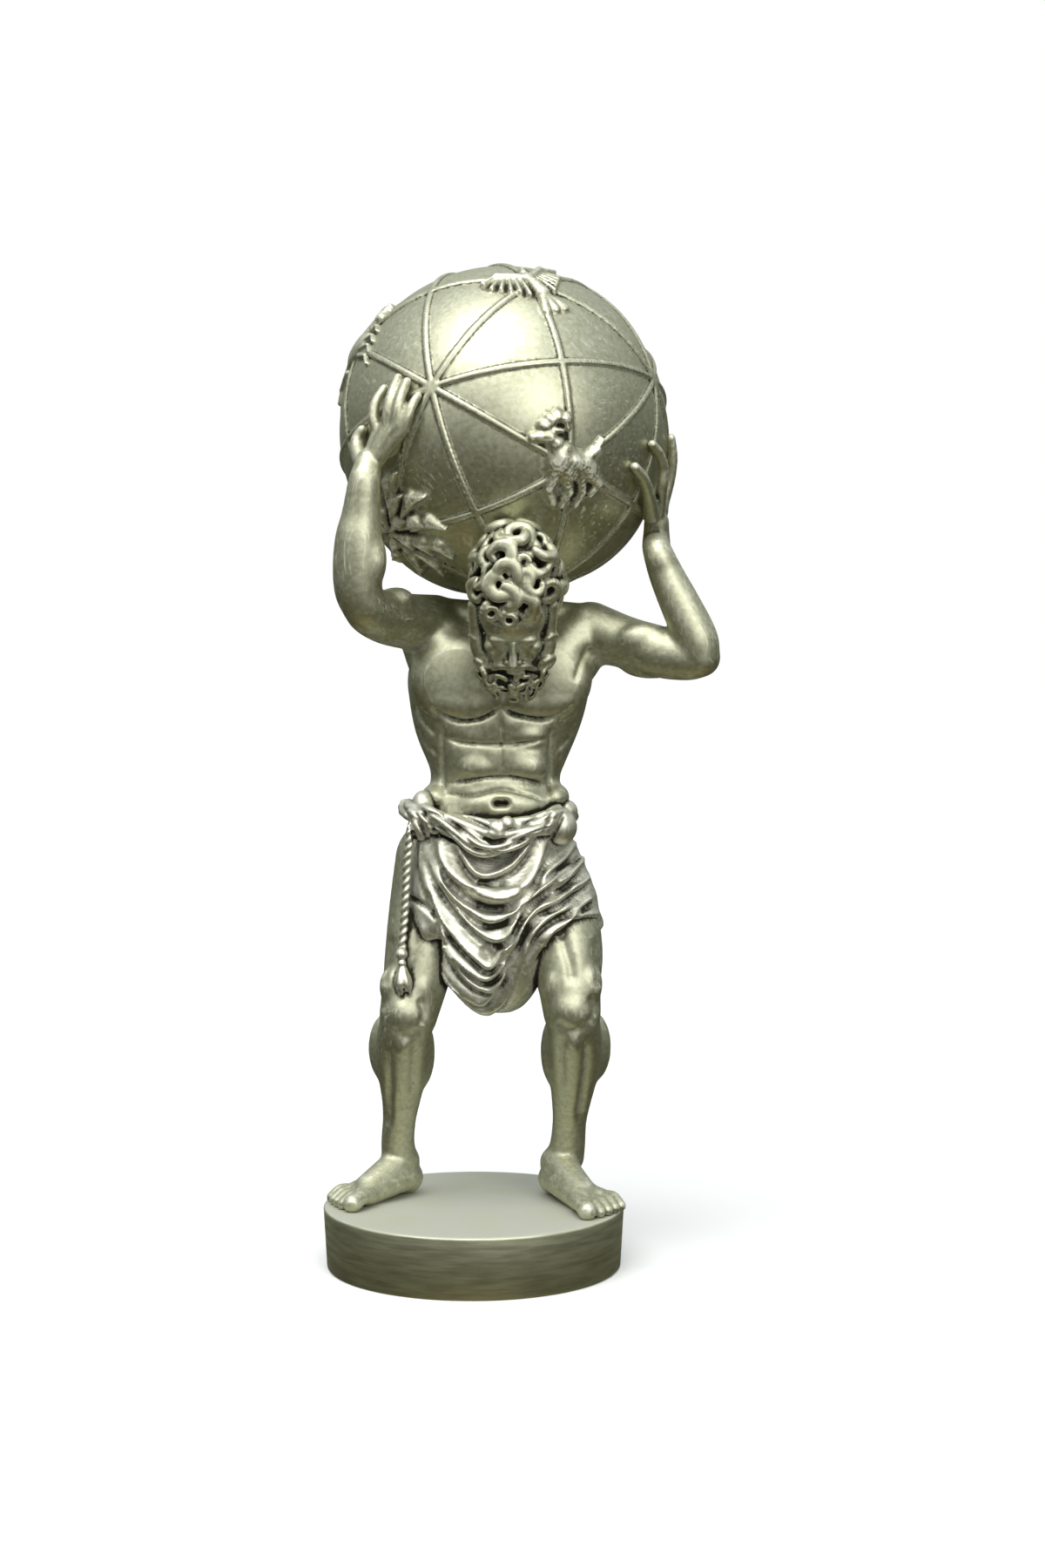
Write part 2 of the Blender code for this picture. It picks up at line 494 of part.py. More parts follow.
def carve(body):
    """Draws the muscles' edges and the cloth's folds into the skin."""
    skin = Skin(body)
    for path, width, depth in BODY_GROOVES:
        skin.line(path, width, depth, within=(-60, 6))
    skin.write()
    for path, width, depth in HOLLOWS:
        skin.line(path, width, depth, within=(-60, 4))
    skin.write()
    for path, width, height in SWAGS:
        skin.line(path, width, -height, within=(-60, 4))
    skin.write()
    skin.line([(14, 204), (14, 202)], 2.0, 4.0, taper=False, within=(-60, 0))
    skin.line([(15, 212), (14, 290)], 3.0, 2.4, facing=(0, 1, 0), within=(5, 60))
    for x in (-20, -8, 8, 24, 40):
        skin.line([(x, 188), (x + 3, 165), (x + 1, 142)], 2.6, 2.0, facing=(0, 1, 0), within=(0, 60))
    skin.write()


def material(name, colour, roughness):
    made = bpy.data.materials.new(name)
    made.use_nodes = True
    shader = made.node_tree.nodes["Principled BSDF"]
    shader.inputs["Base Color"].default_value = (*colour, 1)
    shader.inputs["Metallic"].default_value = 1.0
    shader.inputs["Roughness"].default_value = roughness
    return made


def thin_out(body, faces, group=""):
    """Fewer faces, keeping the form; with a group, only among its points."""
    mesh = body.data
    mesh.calc_loop_triangles()
    fewer = body.modifiers.new("Fewer", "DECIMATE")
    fewer.ratio = faces / len(mesh.loop_triangles)
    fewer.use_collapse_triangulate = True
    fewer.vertex_group = group
    body.data = evaluated_mesh(body)
    body.modifiers.clear()


def largest_piece(body):
    """Drops chips that a cut has set free."""
    bm = bmesh.new()
    bm.from_mesh(body.data)
    bmesh.ops.remove_doubles(bm, verts=bm.verts, dist=1e-6)
    unseen, islands = set(bm.verts), []
    while unseen:
        grown, edge = set(), [unseen.pop()]
        while edge:
            vert = edge.pop()
            grown.add(vert)
            for link in vert.link_edges:
                other = link.other_vert(vert)
                if other in unseen:
                    unseen.discard(other)
                    edge.append(other)
        islands.append(grown)
    islands.sort(key=len)
    chips = [v for island in islands[:-1] for v in island]
    bmesh.ops.delete(bm, geom=chips, context="VERTS")
    bmesh.ops.triangulate(bm, faces=bm.faces)
    bm.to_mesh(body.data)
    bm.free()


def cut(body, cutter):
    """Takes the cutter's space out of the body."""
    taken = body.modifiers.new("Cut", "BOOLEAN")
    taken.operation = "DIFFERENCE"
    taken.solver = "EXACT"
    taken.object = cutter
    body.data = evaluated_mesh(body)
    body.modifiers.clear()
    bpy.data.objects.remove(cutter)


def make_plinth():
    """A round slab with a softened top edge, drawn in slightly towards the bottom."""
    radius = PLINTH_DIAMETER / 2
    bm = bmesh.new()
    bmesh.ops.create_cone(bm, cap_ends=True, segments=PLINTH_SIDES, radius1=radius - PLINTH_BATTER,
                          radius2=radius, depth=PLINTH_HEIGHT,
                          matrix=Matrix.Translation((0, 0, PLINTH_HEIGHT / 2)))
    rim = [e for e in bm.edges if all(abs(v.co.z - PLINTH_HEIGHT) < 1e-6 for v in e.verts)]
    bmesh.ops.bevel(bm, geom=rim, offset=PLINTH_EDGE_ROUND, segments=1, profile=0.5, affect="EDGES",
                    material=-1)
    mesh = bpy.data.meshes.new("plinth")
    bm.to_mesh(mesh)
    bm.free()
    mesh.shade_smooth()
    mesh.set_sharp_from_angle(angle=math.radians(35))
    plinth = bpy.data.objects.new("plinth", mesh)
    bpy.context.scene.collection.objects.link(plinth)
    mesh.materials.append(material("plinth_paint", ALLOY, 0.55))
    return plinth


# The sky's figures, each as rounded strokes: x1, y1, x2, y2, radius and height, in shares of RELIEF_SPAN.
RELIEF_SPAN = 0.021
RAM = [(-0.28, 0.10, 0.30, 0.06, 0.30, 1.0), (-0.32, 0.18, -0.62, 0.55, 0.20, 0.9),
       (-0.62, 0.60, -0.85, 0.50, 0.13, 0.9), (-0.55, 0.70, -0.25, 0.95, 0.09, 0.9),
       (-0.25, 0.95, -0.12, 0.78, 0.08, 0.8), (-0.30, -0.10, -0.22, -0.62, 0.11, 0.8),
       (-0.22, -0.62, -0.42, -0.85, 0.09, 0.6), (0.02, -0.10, -0.02, -0.70, 0.10, 0.6),
       (0.38, 0.00, 0.62, -0.45, 0.13, 0.8), (0.62, -0.45, 0.55, -0.80, 0.09, 0.6),
       (0.50, 0.18, 0.86, 0.40, 0.10, 0.7), (0.30, -0.10, 0.28, -0.72, 0.10, 0.6)]
EAGLE = [(0, -0.45, 0, 0.40, 0.17, 1.0), (0, 0.40, 0.14, 0.66, 0.13, 1.0), (0, -0.45, -0.18, -0.92, 0.12, 0.6),
         (0, -0.45, 0.18, -0.92, 0.12, 0.6)] + [
    (side * 0.1, 0.28 - 0.09 * i, side * (1.12 - 0.10 * i), 0.66 - 0.34 * i, 0.085, 0.8 - 0.07 * i)
    for side in (-1, 1) for i in range(5)]
CRAB = [(-0.2, 0, 0.2, 0, 0.34, 1.0)] + [
    stroke for side in (-1, 1) for stroke in [
        (side * 0.35, 0.25, side * 0.70, 0.62, 0.10, 0.8), (side * 0.70, 0.62, side * 0.42, 0.95, 0.12, 0.9)]
    + [(side * 0.4, 0.1 - 0.2 * i, side * 0.95, 0.15 - 0.34 * i, 0.07, 0.6) for i in range(4)]]
FISH = [(-0.55, -0.1, 0.35, 0.12, 0.26, 1.0), (0.35, 0.12, 0.80, 0.30, 0.12, 0.7),
        (0.80, 0.30, 1.02, 0.66, 0.09, 0.6), (0.80, 0.30, 1.06, 0.02, 0.09, 0.6),
        (-0.1, 0.25, 0.15, 0.55, 0.09, 0.6), (-0.15, -0.3, 0.05, -0.58, 0.08, 0.6)]
# Corners of the strap pattern where a figure sits, as signs of the pattern's axes, and its turn. The
# eighth corner lies under the left palm and is plain.
RELIEFS = [((1, 1, -1), RAM, 0), ((1, 1, 1), EAGLE, 20), ((1, -1, 1), CRAB, 30), ((1, -1, -1), EAGLE, -40),
           ((-1, 1, 1), FISH, 10), ((-1, -1, 1), RAM, 160), ((-1, -1, -1), FISH, 200)]


def strap_rise(directions):
    """How far the straps stand out over each direction, in metres: a ridge along each great circle."""
    turn = STRAP_TURN.to_matrix()
    squares = [(1, 0, 0), (0, 1, 0), (0, 0, 1)]
    between = [(1, s, 0) for s in (1, -1)] + [(1, 0, s) for s in (1, -1)] + [(0, 1, s) for s in (1, -1)]
    rise = np.zeros(len(directions))
    for normal in squares + between:
        away = np.abs(directions @ np.array(turn @ Vector(normal).normalized())) * GLOBE_RADIUS
        rise = np.maximum(rise, 1 - away / (STRAP_WIDTH / 2))
    return rise * STRAP_HEIGHT


def relief_frame(signs, spin):
    """The way out at a relief's corner of the pattern, and the relief's own x and y."""
    outward = (STRAP_TURN.to_matrix() @ Vector(signs)).normalized()
    east = Vector((0, 0, 1)).cross(outward).normalized()
    north = outward.cross(east)
    c, s = math.cos(math.radians(spin)), math.sin(math.radians(spin))
    return np.array(outward), np.array(east * c + north * s), np.array(north * c - east * s)


def relief_rise(directions):
    """How far the sky figures stand out over each direction, in metres."""
    rise = np.zeros(len(directions))
    for signs, strokes, spin in RELIEFS:
        outward, across, along = relief_frame(signs, spin)
        near = np.nonzero(directions @ outward > 0.8)[0]
        spot = directions[near] * (GLOBE_RADIUS / RELIEF_SPAN)
        flat = np.stack([spot @ across, spot @ along], axis=1)
        for x1, y1, x2, y2, radius, share_of_height in strokes:
            start, step = np.array([x1, y1]), np.array([x2 - x1, y2 - y1])
            share = np.clip((flat - start) @ step / max(step @ step, 1e-9), 0, 1)
            gap = np.linalg.norm(flat - start - share[:, None] * step, axis=1)
            dome = np.sqrt(np.clip(1 - (gap / radius) ** 2, 0, 1)) * share_of_height * RELIEF_HEIGHT
            rise[near] = np.maximum(rise[near], dome)
    return rise


def strap_net():
    """A unit ball of 48 fields that meet along the nine great circles, with a hem beside each circle."""
    turn = STRAP_TURN.to_matrix()
    bm = bmesh.new()
    half = math.sin(STRAP_WIDTH / 2 / GLOBE_RADIUS)
    n = STRAP_SEGMENTS

    def put(direction):
        return bm.verts.new(turn @ direction.normalized())

    for signs in itertools.product((1, -1), repeat=3):
        for order in itertools.permutations(range(3)):
            steps = [Vector([signs[k] if k in order[:size] else 0 for k in range(3)]) for size in (1, 2, 3)]
            corners = [step.normalized() for step in steps]
            if corners[0].cross(corners[1]).dot(corners[2]) < 0:
                corners[1], corners[2] = corners[2], corners[1]
            walls = [corners[k].cross(corners[(k + 1) % 3]).normalized() for k in range(3)]
            inner = []
            for k in range(3):
                one, two = walls[k - 1], walls[k]
                base = (one + two) * (half / (one + two).dot(one))
                line = one.cross(two).normalized()
                line = line if line.dot(corners[k]) > 0 else -line
                inner.append(base + line * math.sqrt(1 - base.length_squared))
            field = [[put(inner[0] * (n - i) + inner[1] * (i - j) + inner[2] * j) for j in range(i + 1)]
                     for i in range(n + 1)]
            for i in range(n):
                for j in range(i + 1):
                    bm.faces.new((field[i][j], field[i + 1][j], field[i + 1][j + 1]))
                    if j < i:
                        bm.faces.new((field[i][j], field[i + 1][j + 1], field[i][j + 1]))
            hem = [row[0] for row in field] + field[n][1:] + [row[-1] for row in field[n - 1:0:-1]]
            rim = [put(corners[a] * (n - i) + corners[b] * i)
                   for a, b in ((0, 1), (1, 2), (2, 0)) for i in range(n)]
            for k in range(3 * n):
                after = (k + 1) % (3 * n)
                bm.faces.new((rim[k], rim[after], hem[after], hem[k]))
    bmesh.ops.remove_doubles(bm, verts=bm.verts, dist=1e-5)
    bmesh.ops.recalc_face_normals(bm, faces=bm.faces)
    return bm


def near_relief(point, reach):
    """Whether a point of the unit ball lies within that many spans of a sky figure's middle."""
    limit = math.cos(reach * RELIEF_SPAN / GLOBE_RADIUS)
    way = Vector(point).normalized()
    return any(way.dot(Vector(relief_frame(signs, 0)[0])) > limit for signs, _, _ in RELIEFS)


def make_globe():
    """A ball with raised straps and sky figures."""
    bm = strap_net()
    close = [f for f in bm.faces if near_relief(f.calc_center_median(), 1.25)]
    bmesh.ops.subdivide_edges(bm, edges=list({e for f in close for e in f.edges}), cuts=6,
                              use_grid_fill=True)
    bmesh.ops.triangulate(bm, faces=bm.faces)
    mesh = bpy.data.meshes.new("globe")
    bm.to_mesh(mesh)
    bm.free()
    directions = np.array([v.co.normalized() for v in mesh.vertices])
    rise = np.maximum(strap_rise(directions), relief_rise(directions))
    mesh.vertices.foreach_set("co", (directions * (GLOBE_RADIUS + rise)[:, None]).ravel())
    mesh.update()
    globe = bpy.data.objects.new("globe", mesh)
    bpy.context.scene.collection.objects.link(globe)
    detailed = globe.vertex_groups.new(name="detailed")
    detailed.add([v.index for v in mesh.vertices if near_relief(v.co, 1.5)], 1.0, "REPLACE")
    thin_out(globe, GLOBE_FACES + RELIEF_FACES * len(RELIEFS), "detailed")
    globe.data.shade_smooth()
    globe.data.set_sharp_from_angle(angle=math.radians(24))
    globe.location = GLOBE_CENTRE * SHARE + Vector((0, 0, PLINTH_HEIGHT + JOINT_GAP))
    globe.data.materials.append(material("globe_paint", ALLOY, 0.35))
    return globe


def globe_cutters(globe):
    """A ball that clears the straps, and a copy of the globe, both larger by the gap between castings."""
    bm = bmesh.new()
    bmesh.ops.create_icosphere(bm, subdivisions=4, radius=GLOBE_RADIUS + STRAP_HEIGHT + 1.5 * JOINT_GAP)
    ball = bpy.data.meshes.new("ball_cutter")
    bm.to_mesh(ball)
    bm.free()
    larger = globe.data.copy()
    larger.transform(Matrix.Scale(1 + 1.6 * JOINT_GAP / GLOBE_RADIUS, 4))
    cutters = []
    for name, mesh in (("ball_cutter", ball), ("globe_cutter", larger)):
        cutter = bpy.data.objects.new(name, mesh)
        bpy.context.scene.collection.objects.link(cutter)
        cutter.location = globe.location
        cutters.append(cutter)
    return cutters


def floor_cutter():
    """A block whose top is where the soles are cut flat."""
    bm = bmesh.new()
    bmesh.ops.create_cube(bm, size=1)
    block = bpy.data.meshes.new("floor_cutter")
    bm.to_mesh(block)
    bm.free()
    cutter = bpy.data.objects.new("floor_cutter", block)
    bpy.context.scene.collection.objects.link(cutter)
    side = 2 * PLINTH_DIAMETER
    cutter.data.transform(Matrix.Diagonal((side, side, PLINTH_HEIGHT, 1)))
    cutter.location = (0, 0, PLINTH_HEIGHT / 2 + JOINT_GAP)
    return cutter


def make_figure(globe):
    clay = Clay()
    model_body(clay)
    model_leg(clay, RIGHT_LEG)
    model_leg(clay, LEFT_LEG)
    model_arms_and_hands(clay)
    model_cloth(clay)
    model_rope(clay)
    model_head(clay)
    model_hair(clay)
    model_beard(clay)
    figure = melt("atlas_figure", clay, CLAY_GRAIN, CLAY_SMOOTHING)
    carve(figure)
    thin_out(figure, FIGURE_FACES)
    placed = Matrix.Translation((0, 0, PLINTH_HEIGHT + JOINT_GAP)) @ Matrix.Scale(SHARE, 4)
    figure.data.transform(placed)
    for cutter in globe_cutters(globe):
        cut(figure, cutter)
    cut(figure, floor_cutter())
    largest_piece(figure)
    figure.data.shade_smooth()
    figure.data.materials.append(material("figure_paint", ALLOY, 0.38))
    return figure


def main():
    for thing in list(bpy.data.objects):
        bpy.data.objects.remove(thing)
    make_plinth()
    globe = make_globe()
    make_figure(globe)


main()
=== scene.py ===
"""Atlas statue: a bearded man in a knotted loincloth carries a strapped sky globe, on a round plinth."""
import math
import random

import bmesh
import bpy
import numpy as np
from mathutils import Euler, Matrix, Vector


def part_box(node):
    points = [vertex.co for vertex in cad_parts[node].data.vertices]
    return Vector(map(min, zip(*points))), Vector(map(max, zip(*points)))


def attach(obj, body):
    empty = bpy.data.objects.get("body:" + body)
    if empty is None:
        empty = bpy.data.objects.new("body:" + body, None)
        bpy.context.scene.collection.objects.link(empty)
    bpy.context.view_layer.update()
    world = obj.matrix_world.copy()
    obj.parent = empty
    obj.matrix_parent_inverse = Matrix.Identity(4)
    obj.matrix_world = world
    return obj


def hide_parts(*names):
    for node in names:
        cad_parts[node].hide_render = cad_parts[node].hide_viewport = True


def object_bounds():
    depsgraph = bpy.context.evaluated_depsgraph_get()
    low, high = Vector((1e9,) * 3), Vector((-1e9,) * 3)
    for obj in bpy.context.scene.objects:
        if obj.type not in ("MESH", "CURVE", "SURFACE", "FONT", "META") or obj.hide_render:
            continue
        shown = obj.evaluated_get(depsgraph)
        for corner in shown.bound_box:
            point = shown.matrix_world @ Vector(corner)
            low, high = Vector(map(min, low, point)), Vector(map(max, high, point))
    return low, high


bl_info = {
    "name": "Atlas statue",
    "version": (1, 0, 0),
    "blender": (4, 5, 0),
    "location": "View3D > Sidebar > Atlas",
    "description": "Models a painted resin statue of Atlas carrying the sky globe",
    "category": "Object",
}

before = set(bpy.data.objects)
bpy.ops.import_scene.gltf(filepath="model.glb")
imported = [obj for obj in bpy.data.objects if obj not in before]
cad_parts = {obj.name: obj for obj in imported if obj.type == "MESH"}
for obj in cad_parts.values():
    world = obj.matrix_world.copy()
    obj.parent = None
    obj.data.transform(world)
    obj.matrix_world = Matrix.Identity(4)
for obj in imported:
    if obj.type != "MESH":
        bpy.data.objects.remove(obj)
CAD_LOW, CAD_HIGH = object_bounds()
PLINTH_LOW, PLINTH_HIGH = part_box("plinth")

# The man is modelled in shares of his height: soles at 0, crown at 339. x is right, y away, z up.
SHARES_TALL = 339.0
# The globe rests on the neck and back here, and its centre lies this way from there.
GLOBE_SEAT = Vector((14.5, 14.0, 304.6))
GLOBE_LEAN = Vector((0.006, 0.073, 0.997)).normalized()
STRAP_TURN = Euler([math.radians(a) for a in (17.5, -12.0, -114.6)]).to_matrix()
HEAD_CENTRE = Vector((20, -46, 296))
HEAD_BOW = math.radians(38)
# Air between two castings that touch, in metres.
GAP = 0.0003
# Faces left on each skin, and the cell that each is melted with, in shares.
MAN_FACES, MAN_GRAIN = 185000, 0.85
HEAD_FACES, HEAD_GRAIN = 190000, 0.5
CLOTH_FACES, CLOTH_GRAIN = 190000, 0.65
GLOBE_FACES = 190000


def globe_centre():
    """The globe's centre, in the man's shares."""
    sizes = bpy.context.scene.atlas_sizes
    return GLOBE_SEAT + GLOBE_LEAN * (sizes.globe_diameter / 2 / share())


def share():
    """One share of the man's height, in metres."""
    return bpy.context.scene.atlas_sizes.figure_height / SHARES_TALL


def spline(stations, count):
    """Rows of numbers read evenly from a smooth line through the stations."""
    rows = np.array(stations, float)
    if len(rows) < 3:
        return [rows[0] + (rows[-1] - rows[0]) * i / (count - 1) for i in range(count)]
    ends = np.vstack([2 * rows[0] - rows[1], rows, 2 * rows[-1] - rows[-2]])
    found = []
    for i in range(count):
        at = i / (count - 1) * (len(rows) - 1)
        k = min(int(at), len(rows) - 2)
        t = at - k
        a, b, c, d = ends[k : k + 4]
        found.append(0.5 * (2 * b + (c - a) * t + (2 * a - 5 * b + 4 * c - d) * t * t
                            + (3 * b - a - 3 * c + d) * t ** 3))
    return found


def on_head(right, forward, up):
    """A point given in the head's own directions."""
    sine, cosine = math.sin(HEAD_BOW), math.cos(HEAD_BOW)
    return HEAD_CENTRE + Vector((right, -forward * cosine - up * sine, up * cosine - forward * sine))


def over_globe(stations):
    """Stations given as a direction from the globe's centre, a height over it and a radius."""
    radius = bpy.context.scene.atlas_sizes.globe_diameter / 2 / share()
    found = []
    for x, y, z, lift, thick in stations:
        found.append((*(globe_centre() + Vector((x, y, z)).normalized() * (radius + lift)), thick))
    return found


# A waving lock, in its own size: along, aside, above the scalp, and its radius.
LOCK = ((-1.25, 0.8, -0.4, 0.34), (-0.85, 0.0, 0.25, 0.50), (-0.1, -0.55, 0.45, 0.58),
        (0.75, -0.1, 0.45, 0.52), (0.85, 0.75, 0.2, 0.40), (0.2, 0.9, -0.1, 0.26))


class Clay:
    """Overlapping lumps that are later melted into one skin."""

    def __init__(self):
        self.points, self.faces, self.count, self.balls = [], [], 0, {}

    def place(self, points, corners, placed=Matrix()):
        self.points.append(points @ np.array(placed.to_3x3()).T + np.array(placed.translation))
        self.faces.append(corners + self.count)
        self.count += len(points)

    def take(self, bm):
        """Takes in a closed body."""
        bmesh.ops.triangulate(bm, faces=bm.faces)
        bmesh.ops.recalc_face_normals(bm, faces=bm.faces)
        bm.verts.index_update()
        self.place(np.array([v.co for v in bm.verts]),
                   np.array([[v.index for v in f.verts] for f in bm.faces]))
        bm.free()

    def skin(self, body):
        """Takes in the skin of an object that was melted before."""
        self.place(read_rows(body.data, "co"), read_corners(body.data))
        bpy.data.objects.remove(body)

    def ball(self, fineness):
        """The plain ball that lumps are stretched from."""
        if fineness not in self.balls:
            bm = bmesh.new()
            bmesh.ops.create_icosphere(bm, subdivisions=fineness, radius=1)
            bm.verts.index_update()
            self.balls[fineness] = (np.array([v.co for v in bm.verts]),
                                    np.array([[v.index for v in f.verts] for f in bm.faces]))
            bm.free()
        return self.balls[fineness]

    def lump(self, centre, radii, turn=(0, 0, 0), fineness=4):
        """An egg of clay."""
        turned = Euler([math.radians(a) for a in turn]).to_matrix().to_4x4()
        placed = Matrix.Translation(centre) @ turned @ Matrix.Diagonal((*radii, 1))
        self.place(*self.ball(fineness), placed)

    def roll(self, stations, fineness=4, spacing=0.3):
        """A tapering roll through stations of x, y, z and radius."""
        rows = [np.array(s[:4], float) for s in stations]
        length = sum(np.linalg.norm((b - a)[:3]) for a, b in zip(rows, rows[1:]))
        mean = sum(r[3] for r in rows) / len(rows)
        for x, y, z, radius in spline(rows, max(3, math.ceil(length / mean / spacing) + 1)):
            self.lump((x, y, z), (radius,) * 3, fineness=fineness)

    def stack(self, rings, sides=72, levels=40):
        """A closed body through level ovals: height, centre x and y, half width, half depth."""
        bm = bmesh.new()
        loops = []
        for height, x, y, half_width, half_depth in spline(rings, levels):
            placed = Matrix.Translation((x, y, height)) @ Matrix.Diagonal((half_width, half_depth, 1, 1))
            made = bmesh.ops.create_circle(bm, segments=sides, radius=1, matrix=placed)
            loops.append(list({e for v in made["verts"] for e in v.link_edges}))
        for below, above in zip(loops, loops[1:]):
            bmesh.ops.bridge_loops(bm, edges=below + above)
        for rim in (loops[0], loops[-1]):
            bmesh.ops.edgeloop_fill(bm, edges=rim)
        self.take(bm)

    def twist(self, stations, lay, spread, strands=2, fineness=3, steps=200, thick=0.8):
        """Strands laid round each other: each station gives a place and a strand's radius."""
        rows = spline(stations, steps)
        down = 0.0
        for before, here in zip(rows, rows[1:]):
            step = Vector((here - before)[:3])
            down += step.length
            upright = abs(step.z) > abs(step.x) + abs(step.y)
            aside = step.cross(Vector((0, 1, 0)) if upright else Vector((0.3, 0.1, 1))).normalized()
            up = step.normalized().cross(aside)
            for k in range(strands):
                angle = down / lay * 2 * math.pi + k * 2 * math.pi / strands
                away = (aside * math.cos(angle) + up * math.sin(angle)) * here[3] * spread
                self.lump(Vector(here[:3]) + away, (here[3] * thick,) * 3, fineness=fineness)

    def curl(self, centre, outward, size, spin, turns=1.15, beads=16, fineness=2, strand=0.50):
        """A lock of hair: a strand that rises from the scalp and coils in round a dark pit."""
        outward = Vector(outward).normalized()
        along = outward.orthogonal().normalized()
        across = outward.cross(along)
        for i in range(beads):
            t = i / (beads - 1)
            angle = spin + t * turns * 2 * math.pi
            reach = size * (0.86 - 0.34 * t)
            place = Vector(centre) + (along * math.cos(angle) + across * math.sin(angle)) * reach
            place += outward * size * (0.52 * math.sin(min(1, t * 1.5) * math.pi / 2) - 0.30)
            self.lump(place, (size * strand * (1 - 0.40 * t),) * 3, fineness=fineness)

    def lock(self, centre, outward, size, spin, bend):
        """A waving lock of hair that lies along the head, thick in the middle."""
        outward = Vector(outward).normalized()
        along = outward.orthogonal().normalized()
        across = outward.cross(along)
        ahead = along * math.cos(spin) + across * math.sin(spin)
        aside = outward.cross(ahead) * bend
        stations = []
        for go, swing, lift, thick in LOCK:
            place = Vector(centre) + (ahead * go + aside * swing + outward * lift) * size
            stations.append((*place, thick * size))
        self.roll(stations, fineness=2)


def read_rows(mesh, what):
    """Each point's place, "co", or direction, "normal"."""
    rows = np.zeros(len(mesh.vertices) * 3)
    mesh.vertices.foreach_get(what, rows)
    return rows.reshape(-1, 3)


def read_corners(mesh):
    """The numbers of each triangle's three points."""
    mesh.calc_loop_triangles()
    corners = np.zeros(len(mesh.loop_triangles) * 3, int)
    mesh.loop_triangles.foreach_get("vertices", corners)
    return corners.reshape(-1, 3)


def to_mesh(bm, name):
    """The finished mesh of what was built with bmesh."""
    mesh = bpy.data.meshes.new(name)
    bm.to_mesh(mesh)
    bm.free()
    return mesh


def add_object(name, data):
    """Puts a new object in the scene, at the origin."""
    made = bpy.data.objects.new(name, data)
    bpy.context.scene.collection.objects.link(made)
    return made


def settle(body):
    """Works the object's modifiers into its mesh."""
    bpy.context.view_layer.update()
    graph = bpy.context.evaluated_depsgraph_get()
    body.data = bpy.data.meshes.new_from_object(body.evaluated_get(graph))
    body.modifiers.clear()
    return body


def melt(name, clay, grain, smoothing):
    """One object whose skin runs over all the lumps. The lumps are many thousands, so their meshes are
    laid together as arrays."""
    mesh = bpy.data.meshes.new(name)
    mesh.from_pydata(np.vstack(clay.points), [], np.vstack(clay.faces))
    body = add_object(name, mesh)
    melted = body.modifiers.new("Melt", "REMESH")
    melted.mode = "VOXEL"
    melted.voxel_size = grain
    soften = body.modifiers.new("Soften", "SMOOTH")
    soften.factor = 0.5
    soften.iterations = smoothing
    return settle(body)


def thin_out(body, faces):
    """Fewer faces, keeping the form, and only the largest skin, without pockets and crumbs."""
    count = len(read_corners(body.data))
    if count > faces:
        fewer = body.modifiers.new("Fewer", "DECIMATE")
        fewer.ratio = faces / count
        settle(body)
    bm = bmesh.new()
    bm.from_mesh(body.data)
    left, skins = set(bm.verts), []
    while left:
        skin, edge = set(), [left.pop()]
        while edge:
            here = edge.pop()
            skin.add(here)
            for line in here.link_edges:
                beyond = line.other_vert(here)
                if beyond in left:
                    left.discard(beyond)
                    edge.append(beyond)
        skins.append(skin)
    skins.sort(key=len)
    bmesh.ops.delete(bm, geom=[v for skin in skins[:-1] for v in skin], context="VERTS")
    bm.to_mesh(body.data)
    bm.free()


class Skin:
    """Carves a mesh by moving its points along their normals."""

    def __init__(self, body):
        self.mesh = body.data
        self.read()

    def read(self):
        """Looks at the mesh as it is now."""
        self.points, self.normals = read_rows(self.mesh, "co"), read_rows(self.mesh, "normal")

    def write(self):
        """Gives the mesh its carved points, and its new directions back."""
        self.mesh.vertices.foreach_set("co", self.points.ravel())
        self.mesh.update()
        self.read()

    def line(self, path, width, depth, facing=(0, -1, 0), count=40, taper=0.16, within=None, lean=0.0):
        """A groove, or with a negative depth a ridge, drawn from the side that faces that way: path is x
        and z, within is the range of y, and taper is the share of the path where each end fades. With a
        lean the side that falls away from the path's left is steeper."""
        route = np.array(spline(path, count))
        ends = np.linspace(0, 1, count)
        strength = np.clip(np.minimum(ends, 1 - ends) / taper, 0.1, 1) if taper else np.ones(count)
        seen = self.points[:, (0, 2)]
        low, high = route.min(0) - 3 * width, route.max(0) + 3 * width
        turned = self.normals @ np.array(facing, float)
        near = np.all((seen > low) & (seen < high), axis=1) & (turned > 0.05)
        if within:
            near &= (self.points[:, 1] > within[0]) & (self.points[:, 1] < within[1])
        index = np.nonzero(near)[0]
        if not len(index):
            return
        away, force, side = np.full(len(index), 1e9), np.zeros(len(index)), np.zeros(len(index))
        for k in range(count - 1):
            a, step = route[k], route[k + 1] - route[k]
            along = np.clip((seen[index] - a) @ step / max(step @ step, 1e-9), 0, 1)
            offset = seen[index] - a - along[:, None] * step
            gap = np.linalg.norm(offset, axis=1)
            closer = gap < away
            away[closer] = gap[closer]
            side[closer] = np.sign(step[0] * offset[:, 1] - step[1] * offset[:, 0])[closer]
            force[closer] = (strength[k] + (strength[k + 1] - strength[k]) * along)[closer]
        wide = width * (1 + lean * side)
        amount = depth * force * np.exp(-((away / wide) ** 2)) * np.clip(turned[index] * 2.5, 0, 1)
        self.points[index] -= self.normals[index] * amount[:, None]


# ---------------------------------------------------------------- the man

